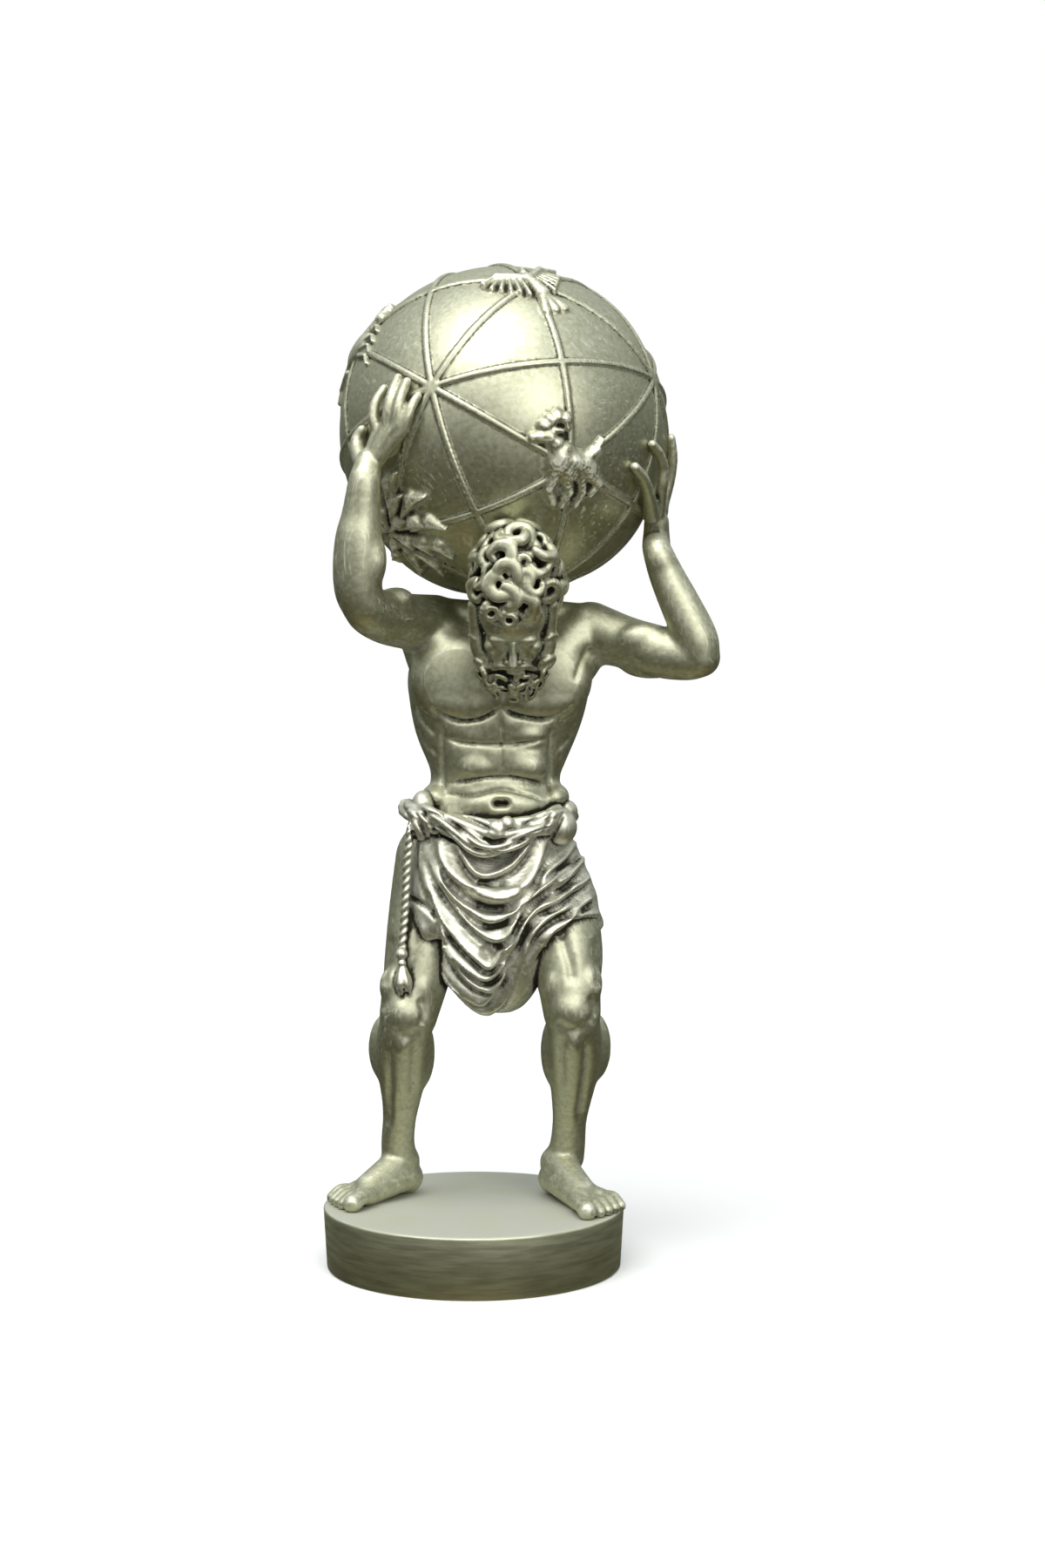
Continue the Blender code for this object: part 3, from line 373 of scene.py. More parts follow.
# A roll's stations are x, y, z and radius. A stack's are height, centre x and y, half width and half
# depth. A lump is a centre and three radii. Right and left are the man's own: his right is at lower x.
RIGHT_LEG = dict(
    thigh=[(-17, 7, 172, 22.5), (-21.5, 4, 150, 20.8), (-25.5, -3, 130, 18.6), (-29, -9, 112, 16.2),
           (-32, -14, 98, 14.6)],
    shin=[(-33, -14, 94, 13.4), (-35.6, -6, 79, 13.6), (-36, 1, 64, 12), (-36.8, 8, 52, 10),
          (-38, 13, 40, 8.6), (-39, 17, 28, 8.6), (-38.5, 19, 20, 9)],
    calves=[((-28.5, 3, 76), (9, 11, 20)), ((-43.5, 3, 78), (9.5, 10.5, 18)), ((-36, 8, 74), (9.5, 9, 22))],
    knee=[((-33.5, -23.5, 99), (8, 5.5, 9)), ((-25.5, -19, 111), (6.5, 6.5, 10)),
          ((-39.5, -17, 112), (7, 6.5, 10)), ((-34, -21, 86), (4.6, 5, 8))],
    hollow=[(-27, 3, 122, 10), (-31, -2, 104, 9.5), (-35, 3, 88, 10.5), (-36, 8, 70, 8)],
    heel=(-31, 27), toes=(-68, -13), inner=1)
LEFT_LEG = dict(
    thigh=[(31, 8, 174, 17.5), (39, 1, 150, 21.5), (45.5, -9, 130, 19), (47.5, -16, 114, 15.8),
           (49, -20, 100, 14.4)],
    shin=[(49.5, -19, 95, 13.4), (51, -9, 80, 13.6), (50, -1, 64, 12), (49.2, 6, 52, 10.2),
          (48.4, 12, 40, 8.8), (47.6, 15, 28, 9), (46.5, 17, 20, 9.6)],
    calves=[((42.5, 1, 77), (9, 11, 20)), ((59.5, 1, 79), (9.5, 10.5, 18)), ((51, 6.5, 75), (10, 9, 22))],
    knee=[((48, -29.5, 102), (8, 5.5, 9)), ((40.5, -23.5, 113), (6.5, 7.5, 11)),
          ((57.5, -22.5, 114), (6.5, 7.5, 11)), ((49.5, -27, 89), (4.6, 5, 8))],
    hollow=[(47, -5, 122, 10), (49, -9, 106, 9.5), (50.5, -1, 90, 10.5), (51, 6, 72, 8)],
    heel=(38, 26), toes=(66, -32), inner=-1)
TORSO = [(150, 7, 4, 40, 28), (190, 9, 3, 39, 26), (205, 10.5, 2, 33.5, 22), (215, 11, 2, 32.3, 21.4),
         (221, 11.5, 1.5, 34, 21.6), (229, 11.5, 1, 37.4, 22), (237, 11.7, 1, 40.5, 22.6),
         (246, 12.2, 1, 43, 25), (255, 12.6, 2, 44.7, 27.5), (263, 13, 3, 45.8, 28.5),
         (272, 14, 5, 45, 27.5), (282, 17, 8, 40, 25), (292, 18.5, 11, 31, 21), (300, 19, 12, 20, 15)]
CHEST = [((-7, -14, 264), (24, 12, 22)), ((-9, -15.8, 254), (17, 9.5, 10.5)),
         ((4, -16.5, 253), (12, 9.5, 9)), ((36, -14, 264), (23, 12, 22)),
         ((38, -15.8, 254), (16, 9.5, 10.5)), ((26, -16.5, 253), (12, 9.5, 9))]
PECTORALS = [[(2, -16, 260, 10), (-12, -11, 275, 11.5), (-22, -3, 288, 12)],
             [(28, -16, 260, 10), (43, -11, 275, 11.5), (54, -5, 285, 12)],
             [(-6, -14, 254, 10), (-19, -9, 268, 11), (-25, 0, 282, 11)],
             [(35, -14, 254, 10), (48, -9, 267, 11), (57, -1, 280, 11)]]
BELLY = [((3, -14, 221), (11, 7.5, 9)), ((26, -14, 221), (11, 7.5, 9)), ((3, -15, 236), (11, 6.5, 7)),
         ((26, -15, 236), (11, 6.5, 7)), ((14, -12, 202), (24, 12.5, 11)), ((-18, -4, 205), (8, 12, 7)),
         ((40, -4, 205), (8, 12, 7))]
BACK = [((16, 15, 284), (36, 17, 22)), ((-14, 16, 262), (18, 12, 26)), ((40, 16, 262), (18, 12, 26)),
        ((-12, 19.5, 275), (12, 7, 17)), ((42, 19.5, 275), (12, 7, 17)),
        ((4, 19, 222), (9, 9, 28)), ((20, 19, 222), (9, 9, 28))]
SHOULDERS = [((59, 0, 287), (16, 15, 14)), ((50, -4, 283), (14, 14, 12)), ((-22, 2, 291), (15, 15, 14)),
             ((-14, -3, 284), (13, 14, 12))]
RIGHT_UPPER_ARM = [(-20, 4, 290, 15.5), (-31, -12, 292, 14), (-41, -27, 294, 13.2),
                   (-48, -40, 297, 12), (-51, -46, 300, 11)]
RIGHT_FOREARM = [(-51.5, -47, 300, 10.6), (-54, -49, 308, 11.6), (-54, -50, 320, 12.2),
                 (-53.6, -51, 332, 11.3), (-52.5, -51, 341, 9.8)]
LEFT_UPPER_ARM = [(58, 0, 287, 15), (75, -10, 282, 13), (91, -18, 277.5, 12.8), (104, -24, 275, 11.6),
                  (111, -27, 275, 10)]
LEFT_FOREARM = [(111, -28, 275, 9.6), (109, -28, 284, 10.6), (102, -27, 299, 10), (94.5, -25, 315, 8.6),
                (90, -23, 327, 7.2)]
ARM_MUSCLES = [((84, -20, 283), (14, 8, 9)), ((88, -12, 271), (16, 9, 7)), ((105, -30, 292), (8, 7, 13)),
               ((-47, -53, 322), (7, 7, 14)), ((-37, -27, 303), (9, 10, 6))]
# Wrists, palms and fingers lie over the globe: a direction from its centre, a height over it, a radius.
RIGHT_WRIST = [(-0.645, -0.710, -0.282, 20, 8.0), (-0.657, -0.716, -0.235, 16.5, 7.2),
               (-0.676, -0.713, -0.187, 12.5, 6.6)]
LEFT_WRIST = [(0.806, -0.080, -0.591, 13, 7.2), (0.831, -0.120, -0.548, 10, 6.7),
              (0.845, -0.150, -0.499, 7.5, 6.4)]
RIGHT_FINGERS = [
    [(-0.668, -0.743, -0.041, 7, 3.2), (-0.688, -0.724, 0.043, 7.5, 2.8), (-0.686, -0.717, 0.125, 6, 2.6),
     (-0.671, -0.712, 0.205, 2.4, 2.3)],
    [(-0.607, -0.795, -0.017, 8, 3.3), (-0.597, -0.799, 0.069, 8.6, 2.9), (-0.590, -0.792, 0.154, 7, 2.7),
     (-0.590, -0.765, 0.260, 2.4, 2.4)],
    [(-0.559, -0.829, -0.015, 8, 3.2), (-0.547, -0.834, 0.071, 8.4, 2.8), (-0.540, -0.828, 0.148, 6.6, 2.6),
     (-0.539, -0.808, 0.237, 2.4, 2.3)],
    [(-0.531, -0.846, -0.038, 6.5, 3.0), (-0.505, -0.860, 0.035, 6.4, 2.5),
     (-0.490, -0.862, 0.098, 4.8, 2.4), (-0.474, -0.864, 0.156, 2.3, 2.1)]]
RIGHT_THUMB = [(-0.745, -0.640, -0.191, 9, 4.4), (-0.799, -0.589, -0.122, 6, 3.7),
               (-0.815, -0.575, -0.066, 4, 3.2), (-0.805, -0.592, -0.023, 2.4, 2.7)]
LEFT_FINGERS = [
    [(0.873, -0.215, -0.439, 6, 3.5), (0.879, -0.345, -0.329, 6.6, 2.9), (0.897, -0.382, -0.223, 5.6, 2.7),
     (0.886, -0.440, -0.146, 4, 2.5), (0.862, -0.498, -0.097, 2.2, 2.3)],
    [(0.925, -0.05, -0.39, 5.0, 3.4), (0.955, -0.07, -0.27, 4.6, 2.8), (0.965, -0.10, -0.15, 3.8, 2.6),
     (0.960, -0.13, -0.04, 2.2, 2.3)],
    [(0.93, 0.08, -0.38, 4.8, 3.3), (0.945, 0.13, -0.26, 4.4, 2.7), (0.950, 0.18, -0.14, 3.6, 2.5),
     (0.945, 0.22, -0.03, 2.2, 2.3)],
    [(0.90, 0.19, -0.41, 4.4, 3.1), (0.905, 0.29, -0.30, 4.2, 2.6), (0.89, 0.37, -0.20, 3.4, 2.4),
     (0.87, 0.43, -0.12, 2, 2.2)]]
LEFT_THUMB = [(0.830, -0.284, -0.480, 6, 4.4), (0.818, -0.439, -0.373, 5, 3.2),
              (0.793, -0.537, -0.288, 4, 2.75), (0.756, -0.612, -0.232, 2.3, 2.45)]
PALMS = [((-0.635, -0.765, -0.085, 5.0), (7.5, 4.2, 9)), ((0.90, -0.06, -0.44, 4.5), (5, 10, 9))]

# Grooves are a path in x and z, a width and a depth.
BODY_GROOVES = [
    ([(-21, 252), (-16, 246.5), (-7, 243.5), (2, 244), (9, 247), (14, 251)], 1.8, 3.4),
    ([(14, 251), (20, 247), (30, 244.5), (39, 244.5), (46, 248), (50, 253)], 1.8, 3.4),
    ([(14.5, 284), (14.5, 268), (14, 251)], 2.2, 1.6), ([(14, 246), (14, 232), (13.5, 212)], 1.6, 1.2),
    ([(-14, 235), (-4, 232.5), (13, 232), (27, 232.5), (38, 235)], 1.5, 2.4),
    ([(-14, 212), (-1, 214), (14, 216), (27, 214), (37, 211)], 1.4, 2.4),
    ([(-14, 207), (-1, 207), (14, 210), (28, 207), (37, 203)], 1.3, 2.0),
    ([(-15, 241), (-15.5, 224), (-14, 207)], 1.8, 2.2), ([(39, 241), (38.5, 224), (37, 204)], 1.8, 2.2),
    ([(-17, 226), (-24, 232), (-29, 240)], 1.8, 1.4), ([(-18, 236), (-25, 243), (-29, 251)], 1.8, 1.4),
    ([(41, 228), (48, 235), (52, 243)], 1.8, 1.4),
    ([(50, 262), (53, 272), (58, 281)], 2.4, 1.2)]
NAVEL = [(12, 203.4), (16, 203.4)]
SPINE = [(15, 212), (14, 286)]
# Each toe's reach along the foot and its radius, from the big one out.
TOES = ((1.0, 4.8), (0.99, 3.0), (0.955, 2.9), (0.91, 2.8), (0.85, 2.7))
LEG_GROOVES = [
    ([(-44, 84), (-42, 68), (-43, 50), (-44, 36)], 2.4, 2.0),
    ([(-28, 84), (-30, 68), (-31, 54)], 2.4, 1.2),
    ([(56.5, 88), (56.5, 72), (54.5, 54), (53, 38)], 2.4, 2.0),
    ([(44, 90), (43.5, 74), (45, 60)], 2.4, 1.2),
    ([(-40, 95), (-36, 90), (-30, 89), (-25, 94)], 2.2, 1.0),
    ([(-26, 108), (-24, 100), (-26, 93)], 2.2, 1.4),
    ([(41, 98), (45, 94), (51, 93), (57, 97)], 2.2, 1.0), ([(58, 110), (60, 102), (57, 95)], 2.2, 1.4),
    ([(-32, 112), (-31, 122), (-27, 136), (-22, 150)], 2.6, 1.6),
    ([(-44, 112), (-43, 124), (-40, 138)], 2.6, 1.2),
    ([(49, 114), (48, 124), (45, 134), (42, 146)], 2.8, 1.6), ([(61, 112), (62, 124), (60, 138)], 2.8, 1.0)]


def model_leg(clay, leg):
    """Thigh, shin, calf and knee."""
    clay.roll(leg["thigh"])
    clay.roll(leg["shin"])
    clay.roll(leg["hollow"])
    for centre, radii in leg["calves"] + leg["knee"]:
        clay.lump(centre, radii)


def foot_place(leg):
    """Turns a place along, across and above the foot into the man's shares."""
    heel, toes = Vector((*leg["heel"], 0)), Vector((*leg["toes"], 0))
    along = (toes - heel).normalized()
    across = Vector((-along.y, along.x, 0)) * leg["inner"]
    length = (toes - heel).length
    return lambda ahead, inward, up: heel + along * ahead * length + across * inward + Vector((0, 0, up))


def model_foot(clay, leg):
    """The heel, and three rolls from the ankle to the ball of the foot."""
    sole = foot_place(leg)
    clay.lump(sole(0.10, 0, 8), (8.6, 8.6, 8.6))
    for start, end in (((0.16, 0.5, 17, 8.8), (0.62, 1.5, 6.5, 8)), ((0.2, 3, 10, 8), (0.72, 5, 5, 6)),
                       ((0.15, -3, 6, 7), (0.68, -5.5, 4.5, 5.5))):
        clay.roll([(*sole(*start[:3]), start[3]), (*sole(*end[:3]), end[3])])


def model_toes(clay, leg):
    """Five toes, each from root over knuckle to tip."""
    sole = foot_place(leg)
    for number, (reach, thick) in enumerate(TOES):
        inward = 10.2 - 5.3 * number - (1.8 if number else 0)
        root, knuckle, tip = (sole(reach - 0.26, inward * 0.80, 5), sole(reach - 0.12, inward, 5.8),
                              sole(reach - 0.01, inward * 1.03, thick * 0.8))
        clay.roll([(*root, thick * 0.9), (*knuckle, thick * 0.84), (*tip, thick)], fineness=3)


def model_masses(clay):
    """The large forms: trunk, neck, arms, legs and feet."""
    clay.stack(TORSO)
    for centre, radii in CHEST + BELLY + BACK + SHOULDERS + ARM_MUSCLES:
        clay.lump(centre, radii)
    for band in PECTORALS:
        clay.roll(band)
    clay.roll([(19, 8, 296, 15), (20, -8, 297, 16), (20, -28, 296, 14)])
    clay.roll([(20, 8, 296, 10), (38, 5, 294, 9), (56, 3, 293, 8)])
    clay.roll([(20, 8, 296, 10), (2, 5, 294, 9), (-16, 5, 296, 8)])
    clay.roll(RIGHT_UPPER_ARM)
    clay.roll(LEFT_UPPER_ARM)
    clay.roll(RIGHT_FOREARM + over_globe(RIGHT_WRIST))
    clay.roll(LEFT_FOREARM + over_globe(LEFT_WRIST))
    for leg in (RIGHT_LEG, LEFT_LEG):
        model_leg(clay, leg)
        model_foot(clay, leg)


def model_hands(clay):
    """Palms, fingers and thumbs laid on the globe."""
    for (x, y, z, lift), radii in PALMS:
        clay.lump(over_globe([(x, y, z, lift, 0)])[0][:3], radii)
    for fingers, wrist in ((RIGHT_FINGERS, RIGHT_WRIST[-1]), (LEFT_FINGERS, LEFT_WRIST[-1])):
        for finger in fingers:
            x, y, z, lift, _ = wrist
            heel = (x * 0.8 + finger[0][0] * 0.2, y * 0.8 + finger[0][1] * 0.2, z, lift - 0.5, 4.4)
            clay.roll(over_globe([heel, finger[0]]), fineness=3)
            clay.roll(over_globe(finger), fineness=3, spacing=0.35)
    for thumb in (RIGHT_THUMB, LEFT_THUMB):
        clay.roll(over_globe(thumb), fineness=3, spacing=0.35)


def place_figure(body):
    """From shares to metres, standing on the plinth."""
    top = PLINTH_HIGH[2] + GAP
    body.data.transform(Matrix.Translation((0, 0, top)) @ Matrix.Scale(share(), 4))
    points = read_rows(body.data, "co")
    points[:, 2] = np.maximum(points[:, 2], top)
    body.data.vertices.foreach_set("co", points.ravel())
    body.data.update()
    body.data.shade_smooth()


def press(skin, front, keep, low, high, middle=14.5):
    """Draws back what stands further forward than a plane, between two heights and within 50 shares of
    a middle line. keep is the share of its depth that stays."""
    x, y, z = skin.points.T
    fade = np.clip((z - low) / 6, 0, 1) * np.clip((high - z) / 8, 0, 1)
    fade = fade * np.clip((50 - abs(x - middle)) / 8, 0, 1)
    over = np.minimum(y - front, 0)
    skin.points[:, 1] = y - over * (1 - keep) * fade
    skin.write()


def model_man():
    """The body without the head: soft masses first, then hands and toes, then the carved muscles."""
    masses = Clay()
    model_masses(masses)
    rough = melt("man_rough", masses, 1.2, 9)
    clay = Clay()
    clay.skin(rough)
    model_hands(clay)
    for leg in (RIGHT_LEG, LEFT_LEG):
        model_toes(clay, leg)
    man = melt("atlas_man", clay, MAN_GRAIN, 3)
    skin = Skin(man)
    press(skin, -22.5, 0.6, 238, 290)
    # Each muscle's edge is a wide soft dip with a narrow cut in it.
    for path, width, depth in BODY_GROOVES:
        skin.line(path, width * 2.2, depth * 0.30, within=(-60, 6))
        skin.line(path, width * 0.62, depth * 0.60, within=(-60, 6))
    skin.write()
    for path, width, depth in LEG_GROOVES:
        skin.line(path, width, depth, within=(-60, 20))
    skin.write()
    skin.line(NAVEL, 2.0, 6.0, taper=0, within=(-60, 0))
    skin.line(SPINE, 4.5, 2.0, facing=(0, 1, 0), within=(5, 60))
    skin.write()
    thin_out(man, MAN_FACES)
    place_figure(man)
    return man


# ---------------------------------------------------------------- head, hair and beard

# On the head, places are right, forward and up of its centre.
FACE = [((0, 9, -9), (13.5, 11.5, 18)), ((0, 7, 5), (15.5, 14, 14)),
        ((-5.6, 17.8, -0.8), (5.6, 3.2, 2.4)), ((5.6, 17.8, -0.8), (5.6, 3.2, 2.4)),
        ((-9.5, 13.5, -8.5), (4.4, 4.4, 4)), ((9.5, 13.5, -8.5), (4.4, 4.4, 4)),
        ((0, 12, -22), (8.5, 6, 6.5)), ((0, 11.5, -30), (7, 5.5, 7)), ((-9, 9, -20), (5.5, 6.5, 8)),
        ((9, 9, -20), (5.5, 6.5, 8)),
        ((0, 19.6, -17.4), (4.6, 2.2, 1.2)), ((0, 18.9, -19.8), (3.8, 2.2, 1.4)),
        ((-5.8, 16.9, -5), (3.3, 2.3, 1.9)), ((5.8, 16.9, -5), (3.3, 2.3, 1.9))]
NOSE = [(0, 19.8, -2.2, 1.7), (0, 22.4, -7, 1.9), (0, 24.6, -11.4, 2.5)]
HAIR_CENTRE = (1.5, -6, 16.5)
HAIR_RADII = (20, 21.5, 24)
# How many places for locks and curls, their size, and how deep they sit in the mass of the hair.
HAIR_COUNT, HAIR_SIZE, HAIR_DEPTH = 96, 4.9, 2.6
FRONT_CURLS = ((-1.5, 20, 13), (9, 17, 14), (-10, 17, 15))
# Rows of beard curls: height, how far forward, half the row's width, and how many.
BEARD_ROWS = ((-9, 8, 18, 2), (-14.5, 10.5, 17.5, 2), (-19, 13, 16.5, 4), (-24, 15.5, 15, 4),
              (-29.5, 17, 12, 4), (-35, 17, 8.5, 3))
BEARD_SIZE = 4.1
# A full turn, near enough for the random draws.
TURN = 6.28


def hair_places(count):
    """Even directions over the scalp, in the head's frame, leaving out the face and the neck."""
    places = []
    for i in range(count):
        up = 1 - 2 * (i + 0.5) / count
        around = i * math.pi * (3 - math.sqrt(5))
        level = math.sqrt(1 - up * up)
        right, forward = level * math.sin(around), level * math.cos(around)
        on_face = forward > 0.2 and up < 0.06 and abs(right) < 0.84
        on_neck = forward < 0.1 and up < -0.6
        if not on_face and not on_neck and up > -0.85:
            places.append(Vector((right, forward, up)))
    return places


def model_head():
    """Skull and face first, then the locks and curls of the hair and the beard."""
    bow = (math.degrees(HEAD_BOW), 0, 0)
    clay = Clay()
    clay.lump(on_head(0, -2, 4), (17.5, 21, 21), bow)
    clay.lump(on_head(*HAIR_CENTRE), [r - HAIR_DEPTH for r in HAIR_RADII], bow)
    for centre, radii in FACE:
        clay.lump(on_head(*centre), radii, bow)
    clay.roll([(*on_head(x, f, u), r) for x, f, u, r in NOSE])
    for side in (-1, 1):
        clay.lump(on_head(2.6 * side, 21.8, -12), (1.7, 1.9, 1.6), bow)
    chance = random.Random(5)
    for place in hair_places(HAIR_COUNT):
        reach = Vector([p * r + c for p, r, c in zip(place, HAIR_RADII, HAIR_CENTRE)])
        outward = on_head(*(reach + place)) - on_head(*reach)
        size = HAIR_SIZE * (chance.uniform(0.8, 1.25) + 0.12 * max(0, place.y))
        jitter = Vector([chance.uniform(-1.2, 1.2) for _ in range(3)])
        tilt = Vector([chance.uniform(-0.4, 0.4) for _ in range(3)])
        root = on_head(*reach) + jitter
        if chance.random() < 0.5:
            clay.lock(root, outward, size, chance.uniform(0, TURN), chance.choice((-1, 1)))
        else:
            clay.curl(root, outward + tilt, size, chance.uniform(0, TURN),
                      turns=chance.uniform(0.6, 0.95) * chance.choice((-1, 1)))
    for right, forward, up in FRONT_CURLS:
        outward = on_head(right, 1, 0.2) - on_head(right, 0, 0)
        clay.curl(on_head(right, forward, up), outward, 4.6, right * 2.1)
    for up, forward, spread, number in BEARD_ROWS:
        for i in range(number):
            side = -1 + 2 * i / (number - 1)
            outward = on_head(side * 1.3, 1, -0.4) - on_head(0, 0, 0)
            place = on_head(side * spread, forward + 3.6 * (1 - side * side), up)
            clay.curl(place, outward, BEARD_SIZE * chance.uniform(0.8, 1.2), chance.uniform(0, TURN),
                      turns=chance.uniform(0.75, 1.1) * chance.choice((-1, 1)), strand=0.44)
    for side in (-1, 1):
        clay.roll([(*on_head(18.5 * side, 3, 8), 3.2), (*on_head(18 * side, 6, -3), 2.8),
                   (*on_head(16.5 * side, 9, -12), 4.2), (*on_head(12 * side, 12, -22), 4.6)], fineness=3)
    for side in (-1, 1):
        clay.roll([(*on_head(1.2 * side, 22.2, -14.8), 1.3), (*on_head(6 * side, 19.3, -16.3), 1.9),
                   (*on_head(10 * side, 15.5, -21), 1.6)], fineness=3)
    head = melt("atlas_head", clay, HEAD_GRAIN, 2)
    press(Skin(head), -74.0, 0.45, 270, 360, 20)
    thin_out(head, HEAD_FACES)
    place_figure(head)
    return head


# ---------------------------------------------------------------- loincloth, belt and rope

WRAP = [(136, 15, -1, 46, 30), (141, 14, 0, 51.3, 32), (150, 12, 1, 49.8, 33), (158, 10, 2, 47.5, 33),
        (167, 8, 3, 45.5, 32.5), (176, 6.5, 3, 43.2, 31.5), (185, 7.5, 2, 42, 30), (196, 9, 2, 40.5, 27)]
APRON = [(97.6, 11, -6, 8, 5), (101, 11, -7, 14, 10), (108, 11, -9.5, 19.5, 13.5), (117, 11, -11, 24, 17),
         (128, 11.5, -11, 28, 21), (142, 12, -9, 32, 24), (160, 10, -7.5, 33, 25)]
BELT = [(-33, 2, 199, 4.6), (-29, -13, 198, 4.8), (-16, -24, 195, 4.8), (0, -28.5, 192, 5),
        (14, -29.5, 190, 5.4), (27, -27, 192, 5.4), (39, -18, 194, 5.6), (46, -3, 195, 5.6),
        (45, 14, 195, 5), (33, 26, 194, 5), (8, 31, 193, 5), (-19, 26, 194, 5), (-31, 14, 197, 4.6),
        (-33, 2, 199, 4.6)]
BELT_OVER = [(-29, -16, 198, 4.4), (-20, -25, 197, 4.8), (-6, -30.5, 189, 4.8), (4, -33, 183, 4.8),
             (14, -33, 183.5, 4.6), (26, -30, 189, 4.6), (36, -24, 195, 4.8), (43, -14, 198, 4.6)]
BELT_FOLDS = [
    ([(-27, 199), (-16, 198), (-6, 192), (4, 186), (14, 186), (26, 191)], 0.9, 1.5),
    ([(-24, 194), (-12, 190), (-2, 183), (8, 180.5), (20, 183)], 0.9, 1.5),
    ([(-18, 202), (-8, 200), (2, 195), (12, 190)], 0.9, 1.3),
    ([(14, 190), (24, 193), (34, 198), (40, 201)], 0.9, 1.5),
    ([(12, 181), (22, 185), (32, 190), (42, 192)], 0.9, 1.5),
    ([(-22, 190), (-14, 188), (-6, 183)], 0.9, 1.3),
    ([(-29, 200), (-25, 192), (-22, 184)], 1.0, 1.8), ([(-25, 201), (-21, 194), (-17, 187)], 0.9, 1.5),
    ([(-33, 199), (-30, 191), (-28, 184)], 1.0, 1.6),
    ([(45, 199), (42, 192), (38, 184)], 1.0, 1.6), ([(40, 200), (37, 194), (34, 187)], 0.9, 1.3)]
BELT_KNOTS = [((43, -15, 191), (8.5, 9, 9)), ((46, -7, 198), (6, 7, 6)), ((-24.5, -12, 201), (6, 7, 8)),
              ((12, -33, 190), (5, 4, 6)), ((17, -33, 194), (3.5, 3.5, 4)),
              ((-25, -20, 192), (6.5, 5, 7.5)), ((-18, -24, 194), (6, 5, 6))]
ROPE = [(-30, -22, 192), (-32, -21, 176), (-33, -20.5, 158), (-34, -20, 142), (-35, -21, 130)]
TASSEL = [((-35, -23, 129), (3.0, 3.0, 3.0)), ((-34.8, -24, 124.5), (2.2, 2.2, 1.8)),
          ((-34.4, -24.4, 120), (2.8, 2.6, 3.4))]
THIGH_COVER = [(31, 9, 178, 19.5), (36, 6, 164, 21), (39.5, 2, 150, 23), (40.5, 1, 142, 22.5)]
# Hanging folds of the front: a path in x and z, a width and a height.
SWAGS = [
    ([(-9, 187), (-5, 178), (1, 170), (8, 168), (18, 172), (24, 178), (31, 188)], 1.7, 2.6),
    ([(-17, 187), (-14, 175), (-5, 165), (8, 158), (20, 159), (30, 169), (37, 187)], 2.8, 4.4),
    ([(-19, 178), (-12, 163), (-1, 152), (8, 147), (18, 150), (24, 156), (41, 167), (54, 171)], 1.9, 3.0),
    ([(-22, 178), (-16, 165), (-5, 150), (7, 139), (16, 139), (24, 152), (37, 163), (52, 165)], 2.0, 3.4),
    ([(-23, 171), (-18, 154), (-10, 141), (1, 129), (9, 124), (16, 133), (21, 143)], 1.9, 3.2),
    ([(-19, 154), (-12, 135), (-3, 124), (7, 118), (14, 124), (20, 135), (27, 146), (44, 158)], 1.9, 3.2),
    ([(-16, 146), (-12, 131), (-3, 118), (7, 112), (14, 117), (18, 128)], 1.7, 2.8),
    ([(-27, 146), (-22, 135), (-14, 122), (-5, 112), (4, 105), (10, 109), (16, 122)], 1.9, 3.2),
    ([(-19, 126), (-10, 113), (0, 102), (8, 99), (15, 106), (21, 120)], 1.5, 2.4),
    ([(26, 138), (23, 124), (18, 110), (12, 101)], 1.4, 2.0),
    ([(52, 185), (47, 178), (38, 171), (30, 164)], 1.7, 2.6),
    ([(56, 176), (52, 171), (46, 166), (37, 160)], 1.7, 2.6),
    ([(58, 166), (54, 163), (48, 160), (40, 155)], 1.6, 2.4),
    ([(59, 156), (55, 154), (50, 150), (42, 142)], 1.6, 2.4),
    ([(20, 130), (24, 143), (31, 152), (46, 156)], 1.7, 3.0),
    ([(25, 127), (30, 141), (39, 149), (52, 153)], 1.7, 2.8),
    ([(29, 126), (37, 139), (44, 144), (52, 147), (66, 146)], 1.9, 3.2),
    ([(-24, 190), (-25, 171), (-22, 156)], 1.6, 2.2), ([(-29, 190), (-30, 170), (-31, 155)], 1.6, 1.8)]
BACK_PLEATS = (-20, -8, 8, 24, 40)
BACK_SWAGS = (186, 178, 169, 160, 151)
HOLLOWS = [
    ([(-33, 157), (-27, 154), (-21, 150), (-17, 146)], 1.3, 3.4),
    ([(0, 184), (6, 179), (16, 179), (22, 186)], 4.6, 5.5), ([(2, 164), (10, 163), (18, 165)], 2.0, 3.2),
    ([(0, 154), (8, 152), (17, 154)], 1.8, 3.0), ([(5, 145), (12, 145), (18, 148)], 1.6, 2.4),
    ([(4, 134), (10, 130), (14, 135)], 3.0, 4.2), ([(60, 176), (46, 172), (38, 168)], 1.8, 2.2)]


